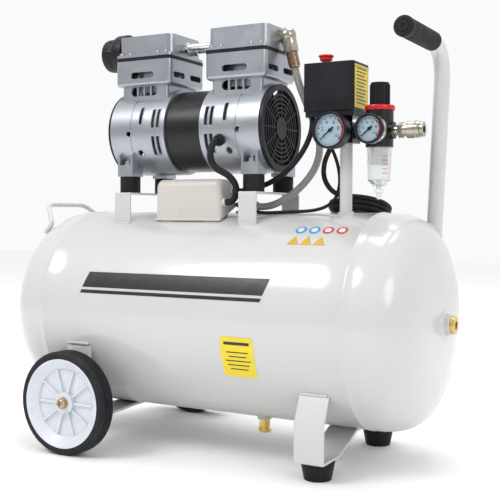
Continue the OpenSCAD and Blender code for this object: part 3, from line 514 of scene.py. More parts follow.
def refined(node, width, material=None, soften=None):
    """A copy of a CAD node with its sharp edges rounded off, standing for it."""
    obj = linked(node + "_skin", nodes[node].data.copy())
    with editing(obj.data) as bm:
        bmesh.ops.remove_doubles(bm, verts=bm.verts, dist=2 * SAME_POINT)
        bmesh.ops.dissolve_limit(bm, angle_limit=radians(0.6), verts=bm.verts, edges=bm.edges)
        if soften:
            soften(bm)
    if obj.data.has_custom_normals:
        with bpy.context.temp_override(object=obj, active_object=obj, selected_objects=[obj]):
            bpy.ops.mesh.customdata_custom_splitnormals_clear()
    finish_mesh(obj)
    bevel(obj, width)
    piece(obj, slot_of[node], [node], material, nodes[node]["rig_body"])


def smooth_path(points):
    """A Catmull-Rom curve through points in mm, as the CAD sweeps it."""
    pts = [Vector(p) * MM for p in points]
    out = []
    for i in range(len(pts) - 1):
        a, b, c, d = pts[max(i - 1, 0)], pts[i], pts[i + 1], pts[min(i + 2, len(pts) - 1)]
        for k in range(SPAN_STEPS):
            t = k / SPAN_STEPS
            square, cube = 2 * a - 5 * b + 4 * c - d, 3 * b - a - 3 * c + d
            out.append(0.5 * (2 * b + (c - a) * t + square * t**2 + cube * t**3))
    return out + [pts[-1]]


def tube(name, path, radius, slot, stands_for=(), resolution=6):
    """A round cord along path, as a curve."""
    curve = bpy.data.curves.new(name, "CURVE")
    curve.dimensions = "3D"
    curve.bevel_depth = radius
    curve.bevel_resolution = resolution
    curve.use_fill_caps = True
    spline = curve.splines.new("POLY")
    spline.points.add(len(path) - 1)
    for point, at in zip(spline.points, path):
        point.co = (*at, 1)
    spline.use_smooth = True
    return piece(linked(name, curve), slot, stands_for)


def free_cord(name, points, diameter, slot, stands_for, **facts):
    path = smooth_path(points)
    obj = tube(name, path, diameter / 2, slot, stands_for)


# ---- cords ----


def coil_place():
    """A matrix that lays the coil on the tank's shoulder, leaning to the back."""
    lean = Matrix.Rotation(-COIL_LEAN, 4, "X")
    return Matrix.Translation(COIL_AT) @ lean @ Matrix.Translation((0, 0, COIL_LIFT))


def add_cords():
    """The hose and the service lines, by given points in mm."""
    hose = [
        ELBOW + 50 * ELBOW_DOWN, ELBOW + 60 * ELBOW_DOWN, (113, 2.5, 552), (118.5, 9, 532),
        (124.5, 16, 512), (130.5, 23, 492), (134, 27.5, 472),
        (134, 28, 452), (129, 24.5, 431.5), (118, 18, 411.5), (102, 11, 394), (85, 5.2, 381.8),
        (70, 1.8, 374.8), (58, 0.3, 372.2), (46, 0, 372),
    ]
    free_cord("hose", hose, 11 * MM, "hose_braid", ["delivery_hose"], stiffness="stiff", lay="hanging")
    unloader = [
        (22, -13, 376), (22, -20, 376), (24, -29.5, 375.3), (29.5, -37.5, 373.5), (37.7, -42.5, 370.5),
        (47.5, -43.5, 367.5), (60, -41, 364.5), (76, -36.5, 362.5), (100, -29, 363.3), (130, -23, 364.6),
        (150, -16.5, 367), (165, -10, 373), (175, -5, 383.5), (180, -3, 398), (181, -3, 416),
        (177.5, -5, 437), (170, -8, 458), (162.5, -11, 477), (158.5, -12, 491), (158, -12, 500),
    ]
    free_cord("unloader", unloader, 5 * MM, "cable_rubber", ["service_lines"], stiffness="medium")
    motor = [
        (14, -60, 470), (14, -67, 470), (14, -76.2, 468.2), (14, -84, 463), (14, -89.2, 455.2),
        (14, -91, 446), (15.9, -90.2, 436.1), (21.4, -87.6, 427.7), (29.5, -83.6, 422), (36.5, -78.7, 417),
        (41.3, -72.5, 409.7), (43, -66.6, 401.1), (41.3, -62, 392.2), (36.8, -58.7, 384.3),
        (29.3, -56.6, 379.1), (20, -56, 378),
    ]
    free_cord("motor_lead", motor, 10 * MM, "cable_rubber", ["service_lines"], stiffness="limp")
    switch = [
        (148, -28, 500), (148, -28, 488), (145.5, -30.5, 473), (138, -33.5, 455), (124, -34.5, 436),
        (104, -31.5, 420), (82, -27.5, 408.5), (62, -25, 401.8), (46, -27, 398), (34, -31.2, 395.6),
        (26, -33.6, 395), (20, -34, 395),
    ]
    facts = {"lay": "hanging", "stiffness": "limp"}
    free_cord("switch_lead", switch, 8 * MM, "cable_rubber", ["service_lines"], **facts)


def eased(t, start, end):
    """0 before start, 1 after end, and a smooth step between."""
    u = min(max((t - start) / (end - start), 0), 1)
    return u * u * (3 - 2 * u)


def mains_path():
    """From the switch down to the coil, round its turns, and out to the plug."""
    place = coil_place()
    outer, inner, layer = 43.75, 36.25, 7.5  # radii and pitch of the turns, in mm
    first, turns, per_turn = radians(265), 5.5, 28  # start angle, turns, points in a turn
    coil = []
    for k in range(int(turns * per_turn) + 1):
        t = k / per_turn
        radius = outer - (outer - inner) * eased(t, 2.55, 2.8)
        down = eased(t, 0.8, 1.0) + eased(t, 1.8, 2.0)
        up = eased(t, 3.3, 3.5) + eased(t, 4.3, 4.5)
        height = layer * (1 - down + up) + 2.5 * eased(t, 5.3, 5.5)
        a = first + 2 * pi * t
        coil.append(place @ (Vector((radius * cos(a), radius * sin(a), height)) * MM))
    lead = [
        (172, -2, 492), (172, -2, 484), (169.3, -0.8, 467.7), (161.5, 2.5, 453.5), (153.7, 5.8, 439.3),
        (151, 7, 423), (153.7, 8.5, 409.2), (161.5, 10.2, 397.5), (173.2, 11.8, 389.7),
    ]
    tail = [
        (-10, 37.5, 14.5), (-24, 41.5, 16), (-40, 47.5, 13.5), (-56, 54.5, 7.5),
        (-72, 61, 0), (-87, 65.5, -5.5), (-100, 67.2, -8.4), (-110, 67.5, -8.8),
    ]
    run_in = smooth_path(lead + [p / MM for p in coil[:3]])
    run_out = smooth_path([p / MM for p in coil[-3:]] + [place @ (Vector(p) * MM) / MM for p in tail])
    return run_in[: -2 * SPAN_STEPS - 1] + coil[:-2] + run_out[SPAN_STEPS + 1 :]


def add_mains():
    """The mains cord with its plug and its strain relief at the switch."""
    path = mains_path()
    cord = tube("mains_lead", path, CORD_D / 2, "cable_rubber", ["mains_cord", "mains_coil"])
    body = [
        (0, -20), (13, -20), (15.5, -18), (16, -15), (16, 2), (14.5, 8), (10, 12), (8.5, 14), (8.6, 17),
        (7.6, 18), (8.2, 21), (7, 22), (7.4, 25), (6.2, 26), (6.6, 29), (5.4, 30), (5.8, 33), (5, 34),
        (5.2, 37), (4.6, 41), (0, 41),
    ]
    plug = lathe("plug_body", body, (0, 0, 0), sides=40)
    pin = [(0, -39), (1.4, -39), (2.4, -37.5), (2.4, -19), (0, -19)]
    pins = [lathe("pin", pin, (x, 0, 0), sides=20) for x in (-9.5, 9.5)]
    place = (
        Matrix.Translation(Vector((40, 0, 208)) * MM) @ Matrix.Rotation(radians(-41), 4, "X")
        @ Matrix.Translation((0, 0, (155 + 16 + 0.3) * MM)) @ Matrix.Rotation(radians(90), 4, "Y")
    )
    for o in [plug, *pins]:
        o.data.transform(place @ Matrix.Scale(MM, 4))
    piece(plug, "cable_rubber", ["mains_plug"])
    pin_pair = piece(join("plug_pins", pins), "nickel")
    sleeve = [
        (3.9, 0), (6.8, 0), (6.8, -4), (5.8, -7), (6.2, -9), (5.4, -12), (5.8, -14), (5, -17), (5.3, -19),
        (4.5, -24), (3.9, -24),
    ]
    relief = lathe("mains_relief", sleeve, (0, 0, 0), sides=32)
    relief.data.transform(Matrix.Translation(path[0]) @ Matrix.Scale(MM, 4))
    piece(relief, "cable_rubber")


# ---- tank ----


def dome_profile(radius, depth, count=40):
    """Radius and distance from the barrel of a domed end, from its edge to its pole."""
    profile = []
    for i in range(count + 1):
        a = (pi / 2) * i / count
        profile.append((radius * max(cos(a), 0) ** (2 / HEAD_POWER), depth * sin(a) ** (2 / HEAD_POWER)))
    profile[-1] = (0, depth)
    return profile


def add_tank():
    """Barrel, heads and the raised lap where they meet, as one turned skin."""
    bead = 1.2 * MM
    half = [(r, BARREL_HALF + x) for r, x in dome_profile(TANK_R, HEAD_DEPTH)]
    half[0] = (TANK_R, BARREL_HALF + 3 * MM)
    lap = [
        (TANK_R, BARREL_HALF - 4 * MM), (TANK_R + bead * 0.7, BARREL_HALF - 2.6 * MM),
        (TANK_R + bead, BARREL_HALF), (TANK_R + bead * 0.6, BARREL_HALF + 1.6 * MM),
    ]
    straight = [(TANK_R, BARREL_HALF * k / 6) for k in range(6)]
    right = straight + lap + half
    left = [(r, -x) for r, x in reversed(right[1:])]
    skin = lathe("tank_skin", left + right, (0, 0, TANK_Z), SPIN_X, sides=192)
    piece(skin, "white_paint", ["tank_barrel", "tank_heads"])
    for side, name in ((-1, "end_weld_left"), (1, "end_weld_right")):
        x = side * (BARREL_HALF + HEAD_DEPTH - 0.6 * MM)
        ring = in_mm([(15.2, 0), (19.5, 0), (18.6, 1.6), (17, 3.4), (15.2, 5)])
        piece(lathe(name, ring, (x, 0, TANK_Z), (side, 0, 0), sides=48), "white_paint")


def on_tank(x, y_arc, lift):
    """A point on the barrel: y_arc runs round it from the front line at the axis's height."""
    a = y_arc / TANK_R
    r = TANK_R + lift
    return Vector((x, -r * cos(a), TANK_Z + r * sin(a)))


def decal(name, outline, slot, material, lift=0.25 * MM, cuts=10):
    """A thin printed patch on the front of the barrel, from (x, height along the arc) in mm."""
    bm = bmesh.new()
    bm.faces.new([bm.verts.new((x * MM, y * MM, 0)) for x, y in outline])
    low, high = min(y for _, y in outline), max(y for _, y in outline)
    for k in range(1, cuts):
        geom = bm.verts[:] + bm.edges[:] + bm.faces[:]
        level = (low + (high - low) * k / cuts) * MM
        bmesh.ops.bisect_plane(bm, geom=geom, plane_co=(0, level, 0), plane_no=(0, 1, 0))
    mesh = bpy.data.meshes.new(name)
    bm.to_mesh(mesh)
    bm.free()
    obj = linked(name, mesh)
    for v in mesh.vertices:
        v.co = on_tank(v.co.x, v.co.y, lift)
    solid = obj.modifiers.new("thickness", "SOLIDIFY")
    solid.thickness = 0.2 * MM
    solid.offset = 1
    piece(join(name, [obj]), slot, material=material)


def disc(x, y, r):
    return [(x + dx, y + dy) for dx, dy in circle(r, 32)]


def add_prints():
    """A plain band, rings, blank triangles and a blank label, where the photo has its own prints."""
    lean = 8
    decal("band", [(-176, 42), (132, 42), (132 + lean, 66), (-176 + lean, 66)], "black_plastic", "ink")
    decal("pinstripe", [(-179, 33), (129, 33), (131, 38), (-177, 38)], "black_plastic", "ink")
    over = 0.5 * MM
    for k, vinyl in enumerate(("blue_vinyl", "blue_vinyl", "red_vinyl", "red_vinyl")):
        x, y = 159 + 20.7 * k, 154.5
        decal(f"dot_{k}", disc(x, y, 8.2), "white_plastic", vinyl, cuts=6)
        decal(f"dot_middle_{k}", disc(x, y, 5), "white_plastic", "white_vinyl", over, cuts=4)
        if k < 3:
            x = 157 + 19.8 * k
            outline = [(x - 9, 123), (x + 9, 123), (x, 140)]
            decal(f"triangle_{k}", outline, "cream_plastic", "orange_vinyl", cuts=5)
    corner, x0, x1, y0, y1 = 3, 68, 120, -77, -17
    label = [
        (x0 + corner, y0), (x1 - corner, y0), (x1, y0 + corner), (x1, y1 - corner), (x1 - corner, y1),
        (x0 + corner, y1), (x0, y1 - corner), (x0, y0 + corner),
    ]
    decal("label_front", label, "cream_plastic", "yellow_vinyl")
    for k in range(6):
        y, h = (-28, 4.2) if k == 0 else (-33 - 6.4 * k, 1.5)
        cut = 6 + 3 * (k % 3)
        line = [(x0 + cut, y), (x1 - cut, y), (x1 - cut, y + h), (x0 + cut, y + h)]
        decal(f"label_line_{k}", line, "black_plastic", "ink", over, cuts=3)


# ---- details ----


def lumpy(k):
    """An uneven factor about 1 that stands for the ripples of a weld."""
    return 1 + 0.16 * sin(2.1 * k) + 0.1 * sin(5.3 * k + 1)


def rope_mesh(paths, radius, sides=8, closed=False, rippled=False):
    """Vertices and faces of round strips along paths of points."""
    verts, faces = [], []
    for path in paths:
        n, base = len(path), len(verts)
        for i, at in enumerate(path):
            if closed:
                before, after = path[i - 1], path[(i + 1) % n]
            else:
                before, after = path[max(i - 1, 0)], path[min(i + 1, n - 1)]
            turn = frame_along(after - before)
            r = radius * (lumpy(i) if rippled else 1)
            if not closed and i in (0, n - 1):
                r *= 0.55
            verts += [at + turn @ Vector((x, y, 0)) for x, y in circle(r, sides)]
        faces += ring_faces(n, sides, base, closed)
        if not closed:
            faces.append(tuple(base + k for k in reversed(range(sides))))
            faces.append(tuple(base + (n - 1) * sides + k for k in range(sides)))
    return verts, faces


def rope(name, paths, radius, slot, **options):
    obj = mesh_object(name, *rope_mesh(paths, radius, **options))
    finish_mesh(obj, 80)
    piece(obj, slot)


def steps(a, b, count):
    """Even points along a line."""
    a, b = Vector(a), Vector(b)
    return [a + (b - a) * k / count for k in range(count + 1)]


def tank_top_z(x, y):
    """Height of the tank's upper skin over a point."""
    past = max(abs(x) - BARREL_HALF, 0) / HEAD_DEPTH
    r = TANK_R * (1 - past**HEAD_POWER) ** (1 / HEAD_POWER)
    return TANK_Z + sqrt(r * r - y * y)


def add_welds():
    """Weld beads where the straps, saddles, post and handle meet the tank."""
    beads = []
    for side in (-1, 1):
        for x0, x1, reach, z in ((-203, -163, 151, 164), (180, 220, 127.2, 117.5)):
            y = side * reach * MM
            beads.append(steps((x0 * MM, y, z * MM), (x1 * MM, y, z * MM), 26))
        for x in (-159, 65):
            y = side * 72.6 * MM
            z = tank_top_z(x * MM, y)
            beads.append(steps(((x - 13) * MM, y, z), ((x + 13) * MM, y, z), 18))
    for x, y, r in ((198, -18, 9.6), (301.5, 60, 12.6)):
        ring = [((x + dx) * MM, (y + dy) * MM) for dx, dy in circle(r, 40)]
        ring = [Vector((px, py, tank_top_z(px, py) + 0.4 * MM)) for px, py in ring]
        beads.append(ring + ring[:1])
    rope("weld_beads", beads, 2.1 * MM, "white_paint", rippled=True)


def filleted(points, radius, count=8):
    """A path through points whose corners are rounded."""
    pts = [Vector(p) * MM for p in points]
    out = [pts[0]]
    for a, b, c in zip(pts, pts[1:], pts[2:]):
        reach = min(radius * MM, 0.45 * (b - a).length, 0.45 * (c - b).length)
        p, q = b + (a - b).normalized() * reach, b + (c - b).normalized() * reach
        for k in range(count + 1):
            t = k / count
            out.append((1 - t) ** 2 * p + 2 * t * (1 - t) * b + t * t * q)
    return out + [pts[-1]]


def add_carry_handle():
    half = [(-318.3, 68.1, 329.9), (-299.4, 74.6, 342.3), (-331, 48, 375)]
    path = filleted(half + [(x, -y, z) for x, y, z in reversed(half)], 14)
    tube("carry_bar", path, 4 * MM, "white_paint", ["carry_handle"], resolution=5)


def add_grip():
    """Foam grip: a collar with two grooves, fine rings along it, a thicker end with a plug."""
    lean = radians(2.3)
    at = (Vector((303 + 302 * sin(lean), 60 - 50 - 4, 300 + 302 * cos(lean)))) * MM
    r = 13.6
    outline = [(11.5, 0), (r - 0.4, 0), (r, 0.6), (r, 3), (r - 0.5, 3.6), (r - 0.5, 4.6), (r, 5.2)]
    for k in range(32):
        y = 7 + 3.2 * k
        outline += [(r, y), (r - 0.35, y + 0.5), (r - 0.35, y + 0.9), (r, y + 1.4)]
    outline += [
        (r, 112), (r + 0.4, 113), (r + 0.4, 117), (r - 0.6, 119.4), (r - 2.5, 120), (9, 120), (8.5, 119.2),
        (7.5, 119.2), (7, 120), (3, 120), (2.4, 118.8), (0, 118.6),
    ]
    piece(lathe("grip_skin", in_mm(outline), at, FRONT, sides=56), "grip_foam", ["handle_grip"])


def barrel_point(side, u, w, lift, front=-1):
    """A point on a crankcase's barrel: u from the pump's middle, w above its axis."""
    r = CASE_R + lift
    return Vector((PUMP.x + side * u * MM, front * sqrt(r * r - (w * MM) ** 2), PUMP.z + w * MM))


def vent_outline(u, w, width, height, round_r):
    """Points round an upright slot, with more of them along its straight sides."""
    out = rounded_rect(u, w, width / 2 - round_r, height / 2 - round_r, round_r, 5)
    dense = []
    for (x0, y0), (x1, y1) in zip(out, out[1:] + out[:1]):
        parts = max(1, int(abs(y1 - y0) / 3))
        dense += [(x0 + (x1 - x0) * k / parts, y0 + (y1 - y0) * k / parts) for k in range(parts)]
    return dense


def add_vent_rims():
    """Raised rims round the slots and holes of the barrels, and the motor lead's grommet."""
    slots = [(u, w, 6.6, 29.6, 1.6) for u in (43.5, 52.5) for w in (17, -24)] + [(76, 22, 6.6, 27.6, 1.6)]
    holes = [(98, -5, 10, 10, 5), (80, -35, 10.8, 10.8, 5.4)]
    for side, name in ((-1, "left_vent_rims"), (1, "right_vent_rims")):
        loops = []
        for front in (-1, 1):
            for shape in slots + holes:
                loops.append([barrel_point(side, u, w, 0.1 * MM, front) for u, w in vent_outline(*shape)])
        rope(name, loops, 0.75 * MM, "silver_paint", closed=True, sides=6)
    outline = [
        (5.1, -3), (5.9, -3), (5.9, 0), (9, 0.4), (9.4, 2), (8.6, 3.6), (7, 4.6), (6.6, 9), (5.1, 9.6),
    ]
    grommet = lathe("lead_grommet", in_mm(outline), (14 * MM, -64.4 * MM, 470 * MM), FRONT, sides=36)
    piece(grommet, "cable_rubber")


def dial_angle(share):
    """Where a share of the scale lies on a dial."""
    return radians(DIAL_ZERO - DIAL_SWEEP * share)


def add_gauges():
    """Dials with plain scales, bezels and windows."""
    hole, thick = 1.1 * MM, 0.35 * MM
    bezel = [(-2.4, -1.2), (-1.4, -2.2), (0.2, -2.2), (0.9, -1.4), (0.9, 4), (0.3, 4.6), (-2.4, 0.6)]
    for name, (x, r) in GAUGES.items():
        face, front = r - 2.1 * MM, GAUGE_Y + 4.45 * MM
        outline = [(hole, 0), (face, 0), (face, thick), (hole, thick)]
        piece(lathe(f"{name}_dial", outline, (x, front, LINE_Z), FRONT), "white_plastic", material="dial")
        top = front - thick
        ticks = []
        for k in range(41):
            reach, width = (0.11, 0.5 * MM) if k % 4 else (0.22, 0.9 * MM)
            ticks.append(dial_bar(x, top, dial_angle(k / 40), face * (0.93 - reach), face * 0.93, width))
        piece(bars_object(f"{name}_ticks", ticks), "black_plastic", material="ink")
        over = top - 0.05 * MM
        zone = [radians(52 - 5 * k) for k in range(20)]
        arc = [dial_bar(x, over, a, face * 0.75, face * 0.87, face * 0.085) for a in zone]
        piece(bars_object(f"{name}_red_zone", arc), "red_plastic", material="red_vinyl")
        outline = [(r + a, b) for a, b in in_mm(bezel)]
        piece(lathe(f"{name}_bezel", outline, (x, GAUGE_Y, LINE_Z), SPIN_Y, sides=72), "black_plastic")
        pane_r, pane_h = r - 1.6 * MM, 0.5 * MM
        outline = [(0, 0), (pane_r, 0), (pane_r, pane_h), (0, pane_h)]
        pane = lathe(f"{name}_window", outline, (x, GAUGE_Y - 0.2 * MM, LINE_Z), SPIN_Y)
        piece(pane, "clear_bowl", material="window")
        numbers(name, x, top, face)
    outline = in_mm([(20.05, 0), (20.35, 0.4), (20.35, 7), (20.05, 7.4)])
    band = lathe("line_gauge_band", outline, (REGULATOR_X, GAUGE_Y + 8 * MM, LINE_Z), SPIN_Y)
    piece(band, "machined_steel")


def dial_bar(x, y, angle, inner, outer, width):
    """Corners of a thin radial bar on a dial that faces the front."""
    along = Vector((cos(angle), 0, sin(angle)))
    across = Vector((-sin(angle), 0, cos(angle))) * width / 2
    near, far = (Vector((x, y, LINE_Z)) + along * reach for reach in (inner, outer))
    flat = [near - across, far - across, far + across, near + across]
    return flat + [p + Vector((0, -0.08 * MM, 0)) for p in flat]


def bars_object(name, rows):
    """One object of flat bars, each from its eight corners."""
    verts, faces = [], []
    for row in rows:
        b = len(verts)
        verts += row
        faces += [(b, b + 1, b + 2, b + 3), (b + 7, b + 6, b + 5, b + 4)]
        faces += [(b + k, b + (k + 1) % 4, b + 4 + (k + 1) % 4, b + 4 + k) for k in range(4)]
    obj = mesh_object(name, verts, faces)
    finish_mesh(obj)
    return obj


def numbers(name, x, y, face):
    """Plain figures from 0 to 10 round the scale."""
    made = []
    for k in range(0, 11, 2):
        angle, r = dial_angle(k / 10), face * 0.54
        curve = bpy.data.curves.new("figure", "FONT")
        curve.body = str(k)
        curve.size = face * 0.34
        curve.align_x = curve.align_y = "CENTER"
        curve.extrude = 0.04 * MM
        obj = linked("figure", curve)
        at = (x + r * cos(angle), y - curve.extrude, LINE_Z + r * sin(angle))
        obj.matrix_world = Matrix.Translation(at) @ Matrix.Rotation(radians(90), 4, "X")
        made.append(obj)
    bpy.context.view_layer.update()
    piece(join(f"{name}_figures", made), "black_plastic", material="ink")


def add_switch():
    """Sticker with plain lines on the switch's side, and its cover's seam and ribs."""
    x = 216.15 * MM
    outline = in_mm([(-33, 512), (16, 512), (16, 573), (-33, 573)])
    sticker = prism("switch_sticker", outline, 0.15 * MM, facing_right(x - 0.1 * MM))
    piece(sticker, "cream_plastic", material="yellow_vinyl")
    lines = []
    for k in range(11):
        y0, y1, z = -27, 11 - 4 * (k % 3), 567 - 4.9 * k
        corners = in_mm([(y0, z), (y1, z), (y1, z + 1.7), (y0, z + 1.7)])
        flat = [Vector((x + 0.06 * MM, y, h)) for y, h in corners]
        lines.append(flat + [p + Vector((0.12 * MM, 0, 0)) for p in flat])
    piece(bars_object("switch_sticker_lines", lines), "black_plastic", material="ink")
    ribs, y = [], -39.1 * MM
    for k in range(13):
        px = (146 + 5.2 * k) * MM
        ribs.append(steps((px, y, 511 * MM), (px, y, 527 * MM), 3))
    rope("switch_ribs", ribs, 0.7 * MM, "black_plastic", sides=6)
    seam = [Vector((px, py, 570)) * MM for px, py in rounded_rect(177, -8.5, 34, 25.5, 5, 6)]
    rope("switch_seam", [seam], 0.45 * MM, "black_plastic", closed=True, sides=6)


def add_regulator():
    """Red lock ring, and the filter element, its plates and level marks in the clear bowl."""
    ring = [
        (19.4, -0.6), (20.9, -0.6), (21.3, 0.4), (21.3, 5), (20.6, 6.2), (15, 6.25), (15, 6.05), (19.4, 5.8),
    ]
    lock = lathe("regulator_lock_ring", in_mm(ring), (REGULATOR_X, CONTROLS_Y, 507 * MM))
    piece(lock, "red_plastic")
    pleats = []
    for k in range(28):
        a = 2 * pi * k / 28
        r = (10.6 if k % 2 else 12.4) * MM
        pleats.append((r * cos(a), r * sin(a)))
    place = Matrix.Translation((REGULATOR_X, CONTROLS_Y, 433 * MM))
    piece(prism("filter_element", pleats, 19 * MM, place), "white_plastic")
    plate = in_mm([(0, 0), (13, 0), (13.6, 0.8), (13.6, 2), (12, 3), (0, 3)])
    for name, z in (("filter_plate", 430), ("filter_collar", 452)):
        piece(lathe(name, plate, (REGULATOR_X, CONTROLS_Y, z * MM), sides=48), "white_plastic")
    marks, r = [], 17.6 * MM
    for k in range(5):
        z = (418 + 6 * k) * MM
        angles = [radians(a) for a in range(34, 70, 4)]
        marks.append([Vector((REGULATOR_X + r * sin(a), CONTROLS_Y - r * cos(a), z)) for a in angles])
    rope("bowl_marks", marks, 0.35 * MM, "red_plastic", sides=6)


def knurled_ring(name, r, x0, x1, rows=22, sides=72, height=0.4, inner=10):
    """A grip band of small pyramids round the outlet's axis, from x0 to x1 in mm."""
    axis = Vector((0, CONTROLS_Y, LINE_Z))
    verts = []
    for i in range(rows + 1):
        x = x0 + (x1 - x0) * i / rows
        for k in range(sides):
            a = 2 * pi * k / sides
            rr = r if i in (0, rows) else r + height * ((i + k) % 2)
            verts.append(Vector((x, rr * cos(a), rr * sin(a))) * MM + axis)
    for x in (x0, x1):
        verts += [Vector((x, y, z)) * MM + axis for y, z in circle(inner, sides)]
    faces = ring_faces(rows + 1, sides)
    last, near, far = (sides * i for i in (rows, rows + 1, rows + 2))
    for k in range(sides):
        m = (k + 1) % sides
        faces.append((m, k, near + k, near + m))
        faces.append((last + k, last + m, far + m, far + k))
        faces.append((near + m, near + k, far + k, far + m))
    obj = mesh_object(name, verts, faces)
    finish_mesh(obj, 20)
    return obj


def add_coupler():
    """The coupler's sliding sleeve: a knurled band between a collar and a nose."""
    parts = [knurled_ring("sleeve_knurl", 11.6, 290.4, 301)]
    collar = [(9.7, 0), (11.3, 0), (11.9, 0.5), (11.9, 1.1), (9.7, 1.1)]
    nose = [
        (9.7, 0), (12, 0), (12.3, 0.6), (12.3, 1.6), (11.6, 2.2), (11.6, 5), (11.2, 7.2), (10.4, 7.7),
        (9.7, 7.7),
    ]
    for name, outline, x in (("sleeve_collar", collar, 289.3), ("sleeve_nose", nose, 301)):
        parts.append(lathe(name, in_mm(outline), (x * MM, CONTROLS_Y, LINE_Z), SPIN_X, sides=56))
    piece(join("sleeve_skin", parts), "nickel", ["coupler_sleeve"], body="sleeve")


def add_fittings():
    """The tank's end plugs, and the ferrule crimped on the hose."""
    outline = in_mm([
        (0, 2), (5.6, 2), (5.6, 6), (11.4, 6), (12.5, 5.2), (12.5, 0.4), (11.9, 0), (9.4, 0), (9.4, -12),
        (0, -12),
    ])
    for side, name in ((-1, "left_plug_skin"), (1, "right_plug_skin")):
        plug = lathe(name, outline, (side * 350 * MM, 0, TANK_Z), (side, 0, 0), sides=24)
        piece(plug, "brass", ["end_plugs"])
    crimps = in_mm([
        (7.6, 27), (8.6, 27.4), (8.9, 30), (8.5, 31), (8.9, 33), (8.5, 35), (8.9, 37), (8.5, 39), (8.9, 41),
        (8.6, 46), (7.8, 50.4), (5.6, 51), (5.6, 49),
    ])
    piece(lathe("hose_ferrule", crimps, ELBOW * MM, ELBOW_DOWN, sides=40), "brass", material="bronze")


def add_filter_can():
    """Intake filter: a screwed base and a fluted cap."""
    face, z, n = -187.5 * MM, 622 * MM, 96
    outline = in_mm([
        (0, 0), (9, 0), (9, 6), (28, 6), (31.4, 7), (32, 8.4), (32, 24), (31.2, 25.6), (30.2, 26), (29, 26.4),
        (0, 26.4),
    ])
    base = lathe("filter_base", outline, (face, 0, z), LEFT)
    # radius, distance from the head cover and depth of the flutes
    rings = (
        (26, 26.6, 0), (27, 28, 0.7), (27, 44, 0.7), (26, 48, 0.3), (23.5, 50, 0), (8, 50, 0), (7, 49, 0),
        (0.01, 49, 0),
    )
    verts = []
    for r, x, flute in rings:
        for k in range(n):
            a = 2 * pi * k / n
            rr = r - (flute if k % 4 < 2 else 0)
            verts.append(Vector((face - x * MM, rr * MM * cos(a), z + rr * MM * sin(a))))
    cap = mesh_object("filter_cap", verts, ring_faces(len(rings), n))
    finish_mesh(cap, 30)
    piece(join("filter_can", [base, cap]), "black_plastic", ["intake_filter"])


def box_section(inset):
    """Section of the capacitor box in Y-Z, drawn in by inset."""
    points = [(-67, 350)]
    for cy, cz, r, a0, a1 in ((-55, 401, 12, 180, 90), (-37, 405, 8, 90, 24)):
        for k in range(9):
            a = radians(a0 + (a1 - a0) * k / 8)
            points.append((cy + r * cos(a), cz + r * sin(a)))
    points.append((-14, 373.5))
    out = []
    for y, z in points:
        dy, dz = y + 40, z - 380
        d = sqrt(dy * dy + dz * dz)
        out.append((y - dy / d * inset, z - dz / d * inset))
    return out


def add_capacitor_box():
    """Moulded cover with soft edges, a rim along its foot, brackets and lead glands."""
    round_r, x0, x1 = 10.0, -100, 17
    angles = [radians(90 * k / 7) for k in range(8)]
    rows = [(x0 + round_r * (1 - cos(a)), round_r * (1 - sin(a))) for a in angles]
    rows += [(x0 + x1 - x, inset) for x, inset in reversed(rows)]
    verts = []
    for x, inset in rows:
        verts += in_mm([(x, y, z) for y, z in box_section(inset)])
    n = len(verts) // len(rows)
    faces = ring_faces(len(rows), n)
    faces.append(tuple(reversed(range(n))))
    faces.append(tuple(range((len(rows) - 1) * n, len(rows) * n)))
    shell = mesh_object("cap_shell", verts, faces)
    finish_mesh(shell, 50)
    outline = in_mm([(-68, 349.6), (-68, 353.4), (-13, 377.9), (-13, 373.9)])
    rim = prism("cap_rim", outline, (x1 - x0) * MM, facing_right(x0 * MM))
    bevel(rim, 1.2 * MM, 3)
    parts = [shell, rim]
    foot = in_mm([(0, 0), (20, 0), (20, 12), (0, 12)])
    for x in (-90, -13):
        for y, top in ((-40, 364), (-64, 352)):
            low = tank_top_z(x * MM, y * MM) / MM - 0.5
            at = Matrix.Translation((x * MM, y * MM, low * MM))
            parts.append(prism("foot", foot, (top - low) * MM, at))
    gland = in_mm([(5.2, -2), (6.5, -2), (6.5, 2.6), (5.8, 3.8), (4.2, 4), (4.2, 1)])
    for y, z in ((-56, 378), (-34, 395)):
        parts.append(lathe("gland", gland, (x1 * MM, y * MM, z * MM), SPIN_X, sides=32))
    piece(join("cap_cover", parts), "cream_plastic", ["capacitor_box"])


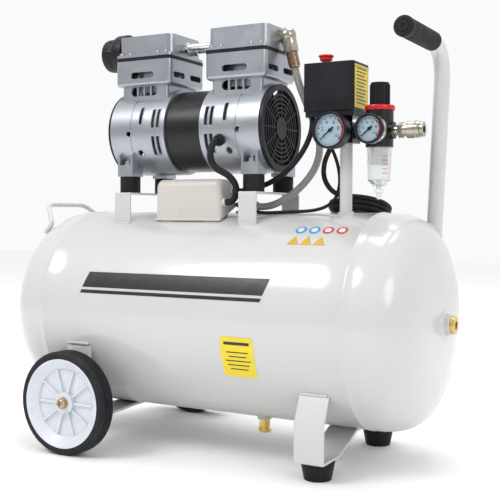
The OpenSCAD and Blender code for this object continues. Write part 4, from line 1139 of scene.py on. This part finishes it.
def add_refined_nodes():
    """CAD nodes with softened edges: name and width of the edge in mm."""
    for node, width in (
        ("push_handle", 0.3), ("wheel_bracket", 0.9), ("foot_bracket", 0.9), ("motor_saddles", 0.8),
        ("tank_bungs", 0.8), ("riser_post", 0.3), ("head_covers", 2.0), ("motor_shell", 0.5),
        ("fan_guards", 0.4), ("valve_plates", 0.4), ("pressure_switch", 2.0), ("cooling_fans", 0.3),
        ("rubber_feet", 1.0), ("vibration_mounts", 0.8), ("drain_valve", 0.5), ("drain_screw", 0.5),
        ("check_valve", 0.5), ("manifold", 0.8), ("safety_valve", 0.4), ("axle_bolts", 0.5),
        ("front_wheel_rim", 0.7), ("rear_wheel_rim", 0.7), ("front_wheel_tyre", 0.5),
        ("rear_wheel_tyre", 0.5), ("switch_knob", 0.5), ("regulator_knob", 0.5),
        ("regulator_body", 0.6), ("coupler_body", 0.4), ("outlet_elbow", 0.9), ("crossover_pipe", 0.4),
        ("bowl_drain", 0.3),
    ):
        refined(node, width * MM)
    refined("head_screws", 0.4 * MM, material="machined_steel")
    for side, node in ((-1, "left_crankcase"), (1, "right_crankcase")):
        refined(node, 0.8 * MM, soften=lambda bm, side=side: round_box_foot(bm, side))


def round_box_foot(bm, side):
    """Rounds the lower rim of a cylinder's box generously, as cast."""
    foot_z, middle = PUMP.z + 72 * MM, PUMP.x + side * 83.5 * MM
    reach_x, reach_y = 48 * MM, 47 * MM  # the rim's edges lie beyond these
    rim = []
    for edge in bm.edges:
        low = all(abs(v.co.z - foot_z) < 0.05 * MM for v in edge.verts)
        at = (edge.verts[0].co + edge.verts[1].co) / 2
        outer = abs(at.x - middle) > reach_x or abs(at.y) > reach_y
        if low and outer and edge.calc_face_angle(0) > 1:
            rim.append(edge)
    bmesh.ops.bevel(bm, geom=rim, offset=6 * MM, segments=4, profile=0.5, affect="EDGES", clamp_overlap=True)


def add_foot_bolts():
    """Nuts that hold the crankcases down on their rubber mounts."""
    outline = in_mm([
        (0, -2), (7.4, -2), (7.4, 1.4), (5.9, 1.4), (5.9, 5.6), (5, 6.4), (2.6, 6.4), (2.6, 9), (0, 9),
    ])
    nuts = [
        lathe("nut", outline, (x * MM, y * MM, 437 * MM), sides=24) for x in (-161, 63) for y in (-53, 53)
    ]
    piece(join("foot_bolts", nuts), "zinc_steel", material="machined_steel")


def add_cad_finishes():
    """Hidden or already smooth nodes keep their CAD shape and take their own finish."""
    for name, obj in nodes.items():
        obj.data.materials.clear()
        obj.data.materials.append(materials[slot_of[name]])


make_materials()
add_camera()
add_studio()
add_cords()
add_mains()
add_cad_finishes()
add_tank()
add_prints()
add_refined_nodes()
add_welds()
add_carry_handle()
add_grip()
add_vent_rims()
add_gauges()
add_switch()
add_regulator()
add_coupler()
add_fittings()
add_filter_can()
add_capacitor_box()
add_foot_bolts()

bpy.context.view_layer.update()
